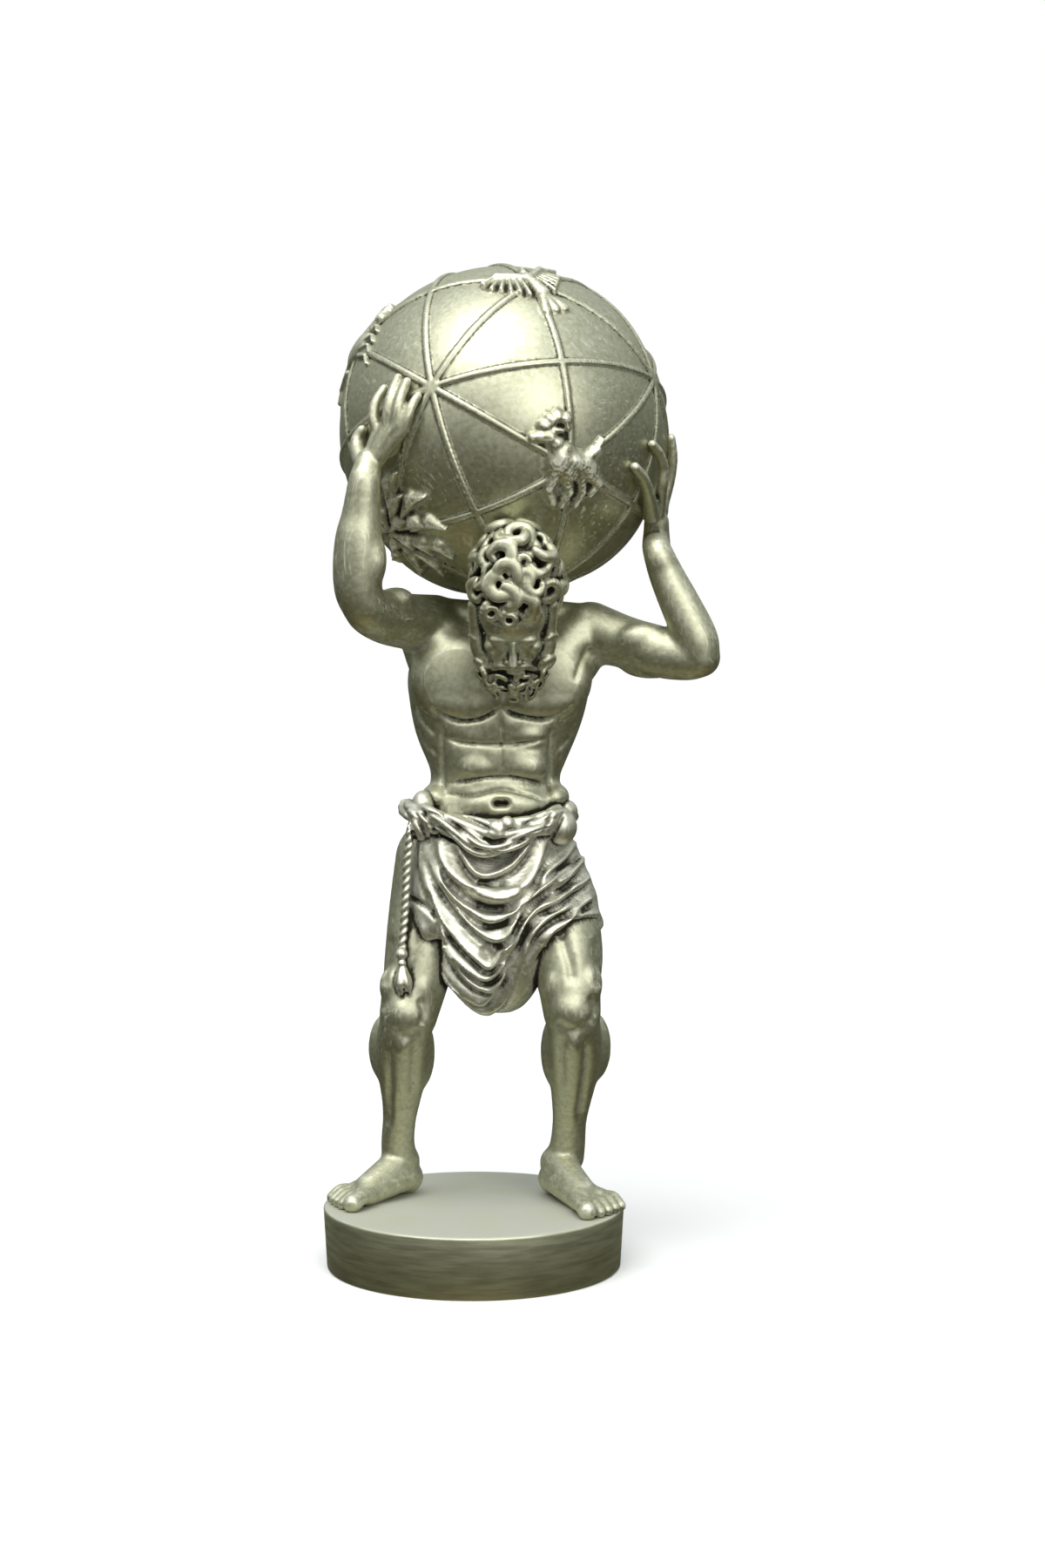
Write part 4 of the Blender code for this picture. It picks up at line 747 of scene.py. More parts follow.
def model_cloth():
    """The wrap with its folds, then the rolled belt, the rope and the tassel laid on it."""
    clay = Clay()
    clay.stack(WRAP)
    clay.stack(APRON)
    clay.lump((-6, 22, 158), (24, 16, 22))
    clay.lump((26, 22, 158), (24, 16, 22))
    clay.roll(THIGH_COVER)
    rough = melt("cloth_rough", clay, 1.0, 6)
    skin = Skin(rough)
    for path, width, depth in HOLLOWS:
        skin.line(path, width, depth * 0.6, within=(-60, 4))
    skin.write()
    for path, width, height in SWAGS:
        skin.line(path, width, -height * 1.05, within=(-60, 4), lean=0.3)
    skin.write()
    # A narrow cut under each fold.
    for path, width, height in SWAGS:
        below = [(x + (0.9 if x > 10 else -0.9), z - width * 1.9) for x, z in path]
        skin.line(below, width * 0.55, height * 0.5, within=(-60, 4))
    skin.write()
    for x in BACK_PLEATS:
        skin.line([(x, 188), (x + 3, 165), (x + 1, 142)], 2.6, 1.2, facing=(0, 1, 0), within=(0, 60))
    for z in BACK_SWAGS:
        path = [(-30, z + 3), (-12, z - 6), (8, z - 10), (30, z - 7), (54, z + 4)]
        skin.line(path, 2.0, -2.6, facing=(0, 1, 0), within=(0, 60), lean=-0.3)
    skin.write()
    clay = Clay()
    clay.skin(rough)
    clay.twist(BELT, 95, 0.60, strands=4, thick=0.52, steps=260)
    clay.twist(BELT_OVER, 70, 0.55, strands=3, thick=0.55, steps=120)
    for centre, radii in BELT_KNOTS:
        clay.lump(centre, radii)
    clay.twist([(*place, 1.6) for place in ROPE], 8.5, 0.74, fineness=2, steps=130, thick=0.72)
    for centre, radii in TASSEL:
        clay.lump(centre, radii)
    for k in range(6):
        aside, ahead = 3.1 * math.cos(k * 1.05), 3.1 * math.sin(k * 1.05)
        clay.roll([(-34.6 + 0.4 * aside, -24.4 + 0.4 * ahead, 122, 1.0),
                   (-34.2 + aside, -25 + ahead, 115.5, 1.55),
                   (-33.4 + 0.8 * aside, -25.6 + 0.6 * ahead, 108 + (k % 3) * 1.5, 0.7)], fineness=2)
    cloth = melt("atlas_loincloth", clay, CLOTH_GRAIN, 2)
    skin = Skin(cloth)
    for path, width, depth in BELT_FOLDS:
        skin.line(path, width, depth, within=(-60, -6))
    skin.write()
    thin_out(cloth, CLOTH_FACES)
    place_figure(cloth)
    return cloth


# ---------------------------------------------------------------- globe

# Each sky figure is drawn in strokes: from x and y to x and y in spans, both radii, and its rise.
RAM = [(-0.22, 0.16, -0.20, 0.02, 0.34, 0.36, 1.0), (-0.06, 0.04, 0.34, -0.02, 0.30, 0.32, 0.9),
       (-0.30, 0.34, -0.52, 0.62, 0.20, 0.15, 0.95), (-0.56, 0.68, -0.94, 0.62, 0.17, 0.09, 0.95),
       (-0.60, 0.86, -0.42, 1.04, 0.11, 0.10, 0.85), (-0.42, 1.04, -0.22, 1.04, 0.10, 0.09, 0.85),
       (-0.22, 1.04, -0.16, 0.86, 0.08, 0.07, 0.8), (-0.44, 0.80, -0.28, 0.80, 0.09, 0.06, 0.9),
       (0.40, 0.22, 0.62, 0.40, 0.12, 0.09, 0.85), (0.62, 0.40, 0.74, 0.62, 0.09, 0.05, 0.75),
       (-0.36, -0.16, -0.46, -0.50, 0.15, 0.10, 0.95), (-0.46, -0.50, -0.30, -0.82, 0.10, 0.09, 0.85),
       (-0.08, -0.22, 0.04, -0.56, 0.14, 0.10, 0.9), (0.04, -0.56, -0.10, -0.88, 0.10, 0.09, 0.85),
       (0.46, -0.12, 0.74, -0.36, 0.18, 0.11, 0.95), (0.74, -0.36, 0.56, -0.62, 0.10, 0.08, 0.85),
       (0.28, -0.22, 0.36, -0.56, 0.13, 0.09, 0.9), (0.36, -0.56, 0.24, -0.86, 0.09, 0.08, 0.8)] + [
    (x, y, x, y, 0.14, 0.14, 1.0) for x, y in (
        (-0.68, 0.88), (-0.54, 1.02), (-0.38, 1.10), (-0.20, 1.06), (-0.36, 0.54), (-0.18, 0.42))] + [
    (-0.24, 0.18, -0.30, 0.06, 0.24, 0.24, 1.22), (0.04, 0.12, 0.14, 0.10, 0.22, 0.20, 1.18),
    (-0.06, -0.12, 0.02, -0.14, 0.20, 0.18, 1.12), (0.34, 0.06, 0.42, -0.02, 0.22, 0.22, 1.16)]


def leaf_ring(number, start, reach, rise):
    """A ring of leaves round the rosette's middle, two strokes to each."""
    strokes, waist = [], start * 0.4 + reach * 0.6
    for i in range(number):
        turn = (i + 0.37 * number) * 2 * math.pi / number
        root, middle, tip = [(far * math.cos(turn + bend), far * math.sin(turn + bend))
                             for far, bend in ((start, 0), (waist, 0.10), (reach, -0.06))]
        strokes += [(*root, *middle, 0.05, 0.135, rise), (*middle, *tip, 0.13, 0.03, rise)]
    return strokes


LEAVES = [stroke for ring in ((5, 0.05, 0.50, 1.15), (8, 0.25, 0.85, 1.0), (11, 0.50, 1.18, 0.85))
          for stroke in leaf_ring(*ring)]
EAGLE = [(0, -0.40, 0, 0.35, 0.18, 0.13, 1.0), (0, 0.38, 0.12, 0.58, 0.13, 0.09, 1.0),
         (0.12, 0.58, 0.27, 0.54, 0.06, 0.03, 0.8)] + [
    (0, -0.40, x, -0.96, 0.09, 0.12, 0.6) for x in (-0.24, 0, 0.24)] + [
    stroke for side in (-1, 1) for stroke in [
        (side * 0.1, 0.22, side * 0.60, 0.56, 0.13, 0.11, 0.95),
        (side * 0.6, 0.56, side * 1.0, 0.50, 0.10, 0.06, 0.8)]
    + [(side * (0.18 + 0.10 * i), 0.28 + 0.05 * i, side * (0.34 + 0.15 * i), -0.40 + 0.16 * i, 0.075, 0.06,
        0.72 - 0.03 * i) for i in range(5)]]
CRAB = [(-0.2, 0, 0.2, 0, 0.36, 0.36, 1.0)] + [
    stroke for side in (-1, 1) for stroke in [
        (side * 0.35, 0.25, side * 0.70, 0.55, 0.10, 0.09, 0.8),
        (side * 0.70, 0.55, side * 0.60, 0.92, 0.14, 0.06, 0.9),
        (side * 0.72, 0.62, side * 0.84, 0.90, 0.08, 0.04, 0.8)]
    + [(side * 0.4, 0.12 - 0.2 * i, side * 0.80, 0.20 - 0.30 * i, 0.08, 0.06, 0.6) for i in range(4)]
    + [(side * 0.80, 0.20 - 0.30 * i, side * 0.94, -0.02 - 0.32 * i, 0.06, 0.04, 0.5) for i in range(4)]]
FISH = [(-0.55, -0.1, 0.35, 0.12, 0.24, 0.20, 1.0), (0.35, 0.12, 0.80, 0.30, 0.18, 0.07, 0.8),
        (0.80, 0.30, 1.02, 0.66, 0.07, 0.12, 0.6), (0.80, 0.30, 1.06, 0.02, 0.07, 0.12, 0.6),
        (-0.1, 0.18, 0.18, 0.55, 0.10, 0.06, 0.6), (-0.15, -0.3, 0.05, -0.58, 0.10, 0.06, 0.6),
        (-0.75, -0.18, -0.80, -0.20, 0.12, 0.10, 0.8)]
# Corners of the strap pattern where a figure sits, as signs of the pattern's axes, its turn and its scale.
RELIEFS = [((1, 1, -1), RAM, 0, 1), ((1, 1, 1), EAGLE, 20, 1), ((1, -1, 1), CRAB, 30, 1),
           ((1, -1, -1), LEAVES, -40, 1.3), ((-1, 1, 1), FISH, 10, 1), ((-1, -1, 1), RAM, 160, 1),
           ((-1, -1, -1), FISH, 200, 1)]
# Strokes are drawn a little fuller than written. A lower power lets them run together more softly.
STROKE_FULLNESS, STROKE_POWER = 1.2, 7


def strap_gap(directions, sizes):
    """How far each direction lies from the nearest strap's middle line, in metres."""
    squares = [(1, 0, 0), (0, 1, 0), (0, 0, 1)]
    between = [(1, s, 0) for s in (1, -1)] + [(1, 0, s) for s in (1, -1)] + [(0, 1, s) for s in (1, -1)]
    nearest = np.full(len(directions), 1.0)
    for normal in squares + between:
        way = np.array(STRAP_TURN @ Vector(normal).normalized())
        nearest = np.minimum(nearest, np.abs(directions @ way) * sizes.globe_diameter / 2)
    return nearest


def strap_rise(away, sizes):
    """How far the straps stand out, with rounded edges."""
    inside = np.clip((sizes.strap_width / 2 - away) / (sizes.strap_width * 0.34), 0, 1)
    return np.sqrt(1 - (1 - inside) ** 2) * sizes.strap_height


def relief_rise(directions, sizes):
    """How far the sky figures stand out over each direction, in metres."""
    rise = np.zeros(len(directions))
    for signs, strokes, spin, scale in RELIEFS:
        outward = (STRAP_TURN @ Vector(signs)).normalized()
        east = Vector((0, 0, 1)).cross(outward).normalized()
        north = outward.cross(east)
        c, s = math.cos(math.radians(spin)), math.sin(math.radians(spin))
        across, along = np.array(east * c + north * s), np.array(north * c - east * s)
        near = np.nonzero(directions @ np.array(outward) > 0.75)[0]
        spot = directions[near] * (sizes.globe_diameter / 2 / sizes.relief_span / scale)
        flat = np.stack([spot @ across, spot @ along], axis=1)
        piled = np.zeros(len(near))
        for x1, y1, x2, y2, near_radius, far_radius, part in strokes:
            start, step = np.array([x1, y1]), np.array([x2 - x1, y2 - y1])
            reach = np.clip((flat - start) @ step / max(step @ step, 1e-9), 0, 1)
            gap = np.linalg.norm(flat - start - reach[:, None] * step, axis=1)
            radius = (near_radius + (far_radius - near_radius) * reach) * STROKE_FULLNESS
            piled += (np.clip(1 - (gap / radius) ** 2, 0, 1) ** 0.6 * part) ** STROKE_POWER
        rise[near] = np.maximum(rise[near], piled ** (1 / STROKE_POWER) * sizes.relief_height)
    return rise


def model_globe():
    """A fine ball whose points are raised by the straps and the sky figures. It keeps how far each point
    lies from a strap and how much a figure raises it, for the paint: wash and painted shade beside the
    straps, painted highlights on the figures."""
    sizes = bpy.context.scene.atlas_sizes
    bm = bmesh.new()
    bmesh.ops.create_icosphere(bm, subdivisions=8, radius=1)
    mesh = to_mesh(bm, "sky_globe")
    directions = read_rows(mesh, "co")
    directions /= np.linalg.norm(directions, axis=1)[:, None]
    away, relief = strap_gap(directions, sizes), relief_rise(directions, sizes)
    rise = np.maximum(strap_rise(away, sizes), relief)
    # Under a figure the distance grows, so that no strap's dark line of wash and painted shade shows
    # through it.
    for name, values in (("strap_gap", away + relief * 9), ("raised", relief / sizes.relief_height)):
        mesh.attributes.new(name, "FLOAT", "POINT").data.foreach_set("value", values.astype(np.float32))
    places = directions * (sizes.globe_diameter / 2 + rise)[:, None]
    mesh.vertices.foreach_set("co", places.ravel())
    mesh.update()
    globe = add_object("sky_globe", mesh)
    thin_out(globe, GLOBE_FACES)
    middle = globe_centre() * share() + Vector((0, 0, PLINTH_HIGH[2] + GAP))
    globe.data.transform(Matrix.Translation(middle))
    globe.data.shade_smooth()
    return globe


# ---------------------------------------------------------------- plinth

def model_plinth():
    """The round slab: its side leans in to the foot, and its top edge is softened."""
    sizes = bpy.context.scene.atlas_sizes
    radius, height = sizes.plinth_diameter / 2, sizes.plinth_height
    batter, edge, foot = 0.0016, 0.0014, 0.001
    edge_steps, rings = 8, 12
    profile = [(0.0, 0.0), (radius - batter - foot, 0.0), (radius - batter, foot)]
    for i in range(edge_steps + 1):
        t = i / edge_steps * math.pi / 2
        profile.append((radius - edge * (1 - math.cos(t)), height - edge * (1 - math.sin(t))))
    profile += [(radius * (1 - k / rings), height) for k in range(1, rings)] + [(0.0, height)]
    bm = bmesh.new()
    points = [bm.verts.new((x, 0, z)) for x, z in profile]
    edges = [bm.edges.new(pair) for pair in zip(points, points[1:])]
    bmesh.ops.spin(bm, geom=points + edges, cent=(0, 0, 0), axis=(0, 0, 1), angle=2 * math.pi, steps=192,
                   use_merge=True)
    bmesh.ops.remove_doubles(bm, verts=bm.verts, dist=1e-6)
    bmesh.ops.recalc_face_normals(bm, faces=bm.faces)
    mesh = to_mesh(bm, "round_plinth")
    mesh.shade_smooth()
    return add_object("round_plinth", mesh)


# ---------------------------------------------------------------- paint

def linear(code):
    """A colour from its sRGB hex code."""
    parts = [int(code[i : i + 2], 16) / 255 for i in (1, 3, 5)]
    return (*[p / 12.92 if p <= 0.04045 else ((p + 0.055) / 1.055) ** 2.4 for p in parts], 1.0)


def add_node(tree, kind, settings=None, sockets=None, output=0):
    """Adds a node with its settings, sets its sockets or links them to other nodes' outputs, and gives one
    output. A ramp's stops are places, each with a colour or a grey."""
    node = tree.nodes.new(kind)
    for name, value in (settings or {}).items():
        if name == "stops":
            marks = node.color_ramp.elements
            while len(marks) < len(value):
                marks.new(0.5)
            for mark, (place, shade) in zip(marks, value):
                mark.position = place
                mark.color = shade if isinstance(shade, tuple) else (shade, shade, shade, 1)
        else:
            setattr(node, name, value)
    for name, value in (sockets or {}).items():
        if isinstance(value, bpy.types.NodeSocket):
            tree.links.new(value, node.inputs[name])
        else:
            node.inputs[name].default_value = value
    return node.outputs[output]


MATH, RAMP, NOISE, MIX = "ShaderNodeMath", "ShaderNodeValToRGB", "ShaderNodeTexNoise", "ShaderNodeMix"
PLUS, LESS, TIMES, TIMES_PLUS = [
    {"operation": name} for name in ("ADD", "SUBTRACT", "MULTIPLY", "MULTIPLY_ADD")]
COLOURS = {"data_type": "RGBA"}
# Real sizes of the paint's marks, in millimetres. A brush mark is a few bristles wide, and the coat is
# thicker and thinner over a finger's width. Its metal flakes are about 0.05 mm, too fine to show in the
# render, so the grit is drawn as coarse as it needs to show.
BRUSH_MARK, PATCH, GRIT = 2.381, 22.222, 0.66667
GRIT_DEPTH = 0.0001
# Dark wash and painted shade beside a strap, by the distance from the strap's middle line in millimetres.
STRAP_WASH_AND_SHADE = ((1.30, 0.0), (1.75, 0.55), (2.15, 0.25), (2.90, 0.0))
STRAP_WASH_AND_SHADE_SPAN = 5.0
# The chalkier top coat begins within a band of this height at the plinth's rim, in metres.
RIM_BAND = 0.002


def metallic_paint(name, colours, brush=(1, 1, 1), roughness=0.42, streak=0.30, top=None):
    """Brushed metallic paint over cast resin: dark wash with painted shade in the hollows, on what faces
    down and beside the straps, silver dry-brushed with painted highlights on the edges, and where a top is
    given as height and colour, a chalkier coat above that height."""
    bright, dull, dark, silver = [linear(c) for c in colours]
    made = bpy.data.materials.new(name)
    made.use_nodes = True
    tree = made.node_tree
    place = add_node(tree, "ShaderNodeTexCoord", output="Object")
    strokes = add_node(tree, "ShaderNodeMapping", None, {"Vector": place, "Scale": brush})
    streaks = add_node(tree, NOISE, None, {"Vector": strokes, "Scale": 1000 / BRUSH_MARK, "Detail": 4.0,
                                           "Roughness": 0.6}, "Fac")
    patches = add_node(tree, NOISE, None, {"Vector": place, "Scale": 1000 / PATCH, "Detail": 3.0}, "Fac")
    grit = add_node(tree, NOISE, None, {"Vector": place, "Scale": 1000 / GRIT, "Detail": 2.0}, "Fac")
    hollow, gap, raised = [add_node(tree, "ShaderNodeAttribute", {"attribute_name": kept}, None, "Fac")
                           for kept in ("hollow", "strap_gap", "raised")]
    # Wash and painted shade: dark deep in hollows, on what faces down and beside straps, uneven with the
    # patches and the brush marks.
    gap = add_node(tree, MATH, TIMES, {0: gap, 1: 1000 / STRAP_WASH_AND_SHADE_SPAN})
    beside = add_node(tree, RAMP, {"stops": [(far / STRAP_WASH_AND_SHADE_SPAN, much) for far, much in STRAP_WASH_AND_SHADE]},
                      {0: gap})
    uneven = add_node(tree, MATH, TIMES_PLUS, {0: patches, 1: 0.34, 2: -0.17})
    streaked = add_node(tree, MATH, TIMES_PLUS, {0: streaks, 1: streak, 2: -streak / 2})
    marks = add_node(tree, MATH, PLUS, {0: uneven, 1: streaked})
    deep = add_node(tree, MATH, PLUS, {0: hollow, 1: marks})
    deep = add_node(tree, MATH, PLUS, {0: deep, 1: beside})
    wash = add_node(tree, RAMP, {"stops": [(0.14, 0.0), (0.42, 0.45), (0.85, 1.0)]}, {0: deep})
    # Dry brush with painted highlight: silver painted on what stands proud, the sky figures too.
    proud = add_node(tree, MATH, TIMES, {0: streaked, 1: -0.35})
    proud = add_node(tree, MATH, LESS, {0: proud, 1: hollow})
    proud = add_node(tree, MATH, TIMES_PLUS, {0: raised, 1: 0.12, 2: proud})
    edges = add_node(tree, RAMP, {"stops": [(0.13, 0.0), (0.36, 0.8)]}, {0: proud})
    tone = add_node(tree, RAMP, {"stops": [(0.30, dull), (0.62, bright)]}, {0: streaks})
    paint = add_node(tree, MIX, COLOURS, {0: edges, 6: tone, 7: silver}, 2)
    paint = add_node(tree, MIX, COLOURS, {0: wash, 6: paint, 7: dark}, 2)
    # The wash with its painted shade and the dry brush with its painted highlight lie on the metal and are
    # duller than it.
    metal = add_node(tree, MATH, TIMES_PLUS, {0: wash, 1: -0.6, 2: 1.0})
    metal = add_node(tree, MATH, TIMES_PLUS, {0: edges, 1: -0.35, 2: metal})
    gloss = add_node(tree, MATH, TIMES_PLUS, {0: wash, 1: 0.26, 2: roughness})
    gloss = add_node(tree, MATH, TIMES_PLUS, {0: streaks, 1: 0.12, 2: gloss})
    if top:
        height = add_node(tree, "ShaderNodeSeparateXYZ", None, {"Vector": place}, "Z")
        above = add_node(tree, MATH, TIMES_PLUS, {0: height, 1: 1 / RIM_BAND, 2: 0.5 - top[0] / RIM_BAND})
        above = add_node(tree, RAMP, {"stops": [(0.40, 0.0), (0.60, 1.0)]}, {0: above})
        thin = add_node(tree, RAMP, {"stops": [(0.35, 0.0), (0.70, 0.5)]}, {0: patches})
        chalk = add_node(tree, MIX, COLOURS, {0: thin, 6: linear(top[1]), 7: dull}, 2)
        paint = add_node(tree, MIX, COLOURS, {0: above, 6: paint, 7: chalk}, 2)
        cover = add_node(tree, MATH, TIMES_PLUS, {0: above, 1: -0.8, 2: 1.0})
        metal = add_node(tree, MATH, TIMES, {0: metal, 1: cover})
        gloss = add_node(tree, MATH, TIMES_PLUS, {0: above, 1: 0.2, 2: gloss})
    grain = add_node(tree, MATH, PLUS, {0: grit, 1: streaks})
    bump = add_node(tree, "ShaderNodeBump", None,
                    {"Strength": 0.2, "Distance": GRIT_DEPTH, "Height": grain})
    shader = tree.nodes["Principled BSDF"]
    for socket, value in (("Base Color", paint), ("Metallic", metal), ("Roughness", gloss),
                          ("Normal", bump)):
        tree.links.new(value, shader.inputs[socket])
    return made


# ---------------------------------------------------------------- dark wash and painted shade

def blurred(field, reach):
    """The field, averaged over a cube of that half width, twice."""
    for _ in range(2):
        for axis in range(3):
            summed = np.cumsum(field, axis=axis, dtype=np.float32)
            size = field.shape[axis]
            upper = np.minimum(np.arange(size) + reach, size - 1)
            lower = np.arange(size) - reach - 1
            high = np.take(summed, upper, axis=axis)
            low = np.take(summed, np.maximum(lower, 0), axis=axis)
            shape = [1, 1, 1]
            shape[axis] = size
            low = low * (lower >= 0).reshape(shape)
            field = (high - low) / (2 * reach + 1)
    return field


# The skin is counted in cells of this size, in metres, with this margin round the solids' box.
WASH_CELL, WASH_MARGIN = 0.001, 0.02
# How many cells round are read, how far above the skin in metres, and how much that reading weighs.
WASH_REACHES = ((1, 0.0016, 0.74), (3, 0.004, 0.27), (8, 0.010, 0.10))
# What flat skin reads, and how much more a full hollow does.
FLAT_READING, HOLLOW_READING = 0.510, 0.9
# How much painted shade darkens what faces down, as if in shade from the light above. The globe gets none.
FIGURE_UNDERSIDE_SHADE, GLOBE_UNDERSIDE_SHADE = 0.32, 0.0


def lay_wash_and_shade(pieces, underside_shade):
    """Works out how deep in a hollow each point lies, from how much skin faces it nearby, and counts what
    faces down as deeper. The paint darkens by this reading: the dark wash in crevices, and painted shade in
    hollows, between parts and under them.
    """
    low = np.array(CAD_LOW) - WASH_MARGIN
    size = np.ceil((np.array(CAD_HIGH) + WASH_MARGIN - low) / WASH_CELL).astype(int)
    field = np.zeros(int(np.prod(size)), np.float32)
    read = []
    for piece in pieces:
        corners = read_corners(piece.data)
        points, normals = read_rows(piece.data, "co"), read_rows(piece.data, "normal")
        a, b, c = (points[corners[:, k]] for k in range(3))
        area = np.linalg.norm(np.cross(b - a, c - a), axis=1) / 2
        spot = ((a + b + c) / 3 - low) / WASH_CELL
        index = np.clip(spot.astype(int), 0, size - 1)
        flat = np.ravel_multi_index(index.T, size)
        field += np.bincount(flat, weights=area / WASH_CELL ** 2, minlength=len(field)).astype(np.float32)
        read.append((piece.data, points, normals))
    field = field.reshape(size)
    found = [np.zeros(len(points)) for _, points, _ in read]
    for reach, ahead, weight in WASH_REACHES:
        soft = blurred(field, reach)
        for k, (mesh, points, normals) in enumerate(read):
            spot = np.clip(((points + normals * ahead - low) / WASH_CELL).astype(int), 0, size - 1)
            found[k] += weight * soft[spot[:, 0], spot[:, 1], spot[:, 2]] * (2 * reach + 1)
    for value, (mesh, _, normals) in zip(found, read):
        # Painted shade: what faces down reads as deeper, so it is darkened as if shaded.
        below = underside_shade * np.maximum(0, -normals[:, 2])
        depth = np.clip((value - FLAT_READING) / HOLLOW_READING + below, -1, 1)
        attribute = mesh.attributes.new("hollow", "FLOAT", "POINT")
        attribute.data.foreach_set("value", depth.astype(np.float32))


# ---------------------------------------------------------------- add-on

class AtlasSizes(bpy.types.PropertyGroup):
    """The statue's sizes."""
    figure_height: bpy.props.FloatProperty(
        name="Figure height", description="Soles to crown of the bowed figure", default=0.339,
        min=0.1, unit="LENGTH")
    globe_diameter: bpy.props.FloatProperty(
        name="Globe diameter", description="The ball without its straps", default=0.164, min=0.05,
        unit="LENGTH")
    strap_width: bpy.props.FloatProperty(
        name="Strap width", description="Width of the globe's raised straps", default=0.0034, min=0.001,
        unit="LENGTH")
    strap_height: bpy.props.FloatProperty(
        name="Strap height", description="How far the straps stand out", default=0.0013, min=0.0002,
        unit="LENGTH")
    relief_span: bpy.props.FloatProperty(
        name="Relief span", description="Half the reach of a sky figure", default=0.021, min=0.005,
        unit="LENGTH")
    relief_height: bpy.props.FloatProperty(
        name="Relief height", description="How far the sky figures stand out", default=0.0042, min=0.0005,
        unit="LENGTH")
    plinth_diameter: bpy.props.FloatProperty(
        name="Plinth diameter", description="Across the plinth's top", default=0.151, min=0.05,
        unit="LENGTH")
    plinth_height: bpy.props.FloatProperty(
        name="Plinth height", description="Thickness of the round plinth",
        default=PLINTH_HIGH[2] - PLINTH_LOW[2], min=0.005, unit="LENGTH")


class AtlasColours(bpy.types.PropertyGroup):
    """The statue's colours."""
    bright: bpy.props.StringProperty(
        name="Bright paint", description="sRGB hex colour of the burnished metallic paint",
        default="#cccdb4")
    dull: bpy.props.StringProperty(
        name="Dull paint", description="sRGB hex colour of the thinner paint between brush marks",
        default="#b6b596")
    # The wash colour also paints shade into hollows, creases and undersides.
    wash: bpy.props.StringProperty(
        name="Wash", description="sRGB hex colour of the dark wash in the hollows", default="#2c2a18")
    # The silver also paints highlights on what stands proud.
    silver: bpy.props.StringProperty(
        name="Silver", description="sRGB hex colour dry-brushed on the raised edges", default="#eceada")
    olive: bpy.props.StringProperty(
        name="Olive", description="sRGB hex colour of the plinth's paint", default="#d4d5b8")
    deep_olive: bpy.props.StringProperty(
        name="Deep olive", description="sRGB hex colour between the plinth's brush marks",
        default="#b0b195")
    chalk: bpy.props.StringProperty(
        name="Chalk", description="sRGB hex colour of the plinth's matter top", default="#b4b5a8")


def dress(piece, node, material):
    """Gives a piece its paint and its place in the frame."""
    piece.data.materials.clear()
    piece.data.materials.append(material)
    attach(piece, "root")
    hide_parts(node)


def figure_colours():
    """The four paints that the globe, the man and his head share."""
    colours = bpy.context.scene.atlas_colours
    return colours.bright, colours.dull, colours.wash, colours.silver


def body_paint():
    """Silver paint burnished with a brush on cast resin: a soft sheen on the skin and the hair."""
    found = bpy.data.materials.get("brushed_silver_paint")
    return found or metallic_paint("brushed_silver_paint", figure_colours(), roughness=0.46)


class ATLAS_OT_plinth(bpy.types.Operator):
    """Make the round plinth"""
    bl_idname = "atlas.plinth"
    bl_label = "Plinth"

    def execute(self, context):
        # Olive metallic paint drawn round the side with a wide dry brush: level streaks, and a matter top.
        colours = context.scene.atlas_colours
        olive = (colours.olive, colours.deep_olive, colours.wash, colours.silver)
        rim = PLINTH_HIGH[2] - 0.0004
        paint = metallic_paint("olive_brushed_paint", olive, brush=(0.10, 0.10, 1), roughness=0.46,
                               streak=0.36, top=(rim, colours.chalk))
        dress(model_plinth(), "plinth", paint)
        return {"FINISHED"}


class ATLAS_OT_globe(bpy.types.Operator):
    """Make the globe with its straps and sky figures"""
    bl_idname = "atlas.globe"
    bl_label = "Globe"

    def execute(self, context):
        # Champagne silver paint rubbed smooth on a large round: the clearest sheen of the statue.
        paint = metallic_paint("champagne_silver_paint", figure_colours(), roughness=0.40)
        dress(model_globe(), "globe", paint)
        return {"FINISHED"}


class ATLAS_OT_man(bpy.types.Operator):
    """Make the man's body, arms and legs"""
    bl_idname = "atlas.man"
    bl_label = "Man"

    def execute(self, context):
        dress(model_man(), "atlas_figure", body_paint())
        return {"FINISHED"}


class ATLAS_OT_head(bpy.types.Operator):
    """Make the head with its hair and beard"""
    bl_idname = "atlas.head"
    bl_label = "Head, hair and beard"

    def execute(self, context):
        dress(model_head(), "atlas_figure", body_paint())
        return {"FINISHED"}


class ATLAS_OT_cloth(bpy.types.Operator):
    """Make the loincloth, its belt and the rope"""
    bl_idname = "atlas.cloth"
    bl_label = "Loincloth, belt and rope"

    def execute(self, context):
        # Silver dry-brushed over the folds of the casting, with painted highlights: bright ridges over
        # hollows darkened by the wash and painted shade.
        bright, _, wash, silver = figure_colours()
        paint = metallic_paint("dry_brushed_and_highlit_silver_paint", (silver, bright, wash, silver))
        dress(model_cloth(), "atlas_figure", paint)
        return {"FINISHED"}


class ATLAS_OT_wash_and_shade(bpy.types.Operator):
    """Lay the dark wash with painted shade in the hollows of the figure and the globe, and on the figure's
    undersides
    """
    bl_idname = "atlas.wash"
    # The step lays painted shade as well as the dark wash.
    bl_label = "Dark wash"

    def execute(self, context):
        figure = ("atlas_man", "atlas_head", "atlas_loincloth")
        lay_wash_and_shade([bpy.data.objects[name] for name in figure], FIGURE_UNDERSIDE_SHADE)
        lay_wash_and_shade([bpy.data.objects["sky_globe"]], GLOBE_UNDERSIDE_SHADE)
        return {"FINISHED"}


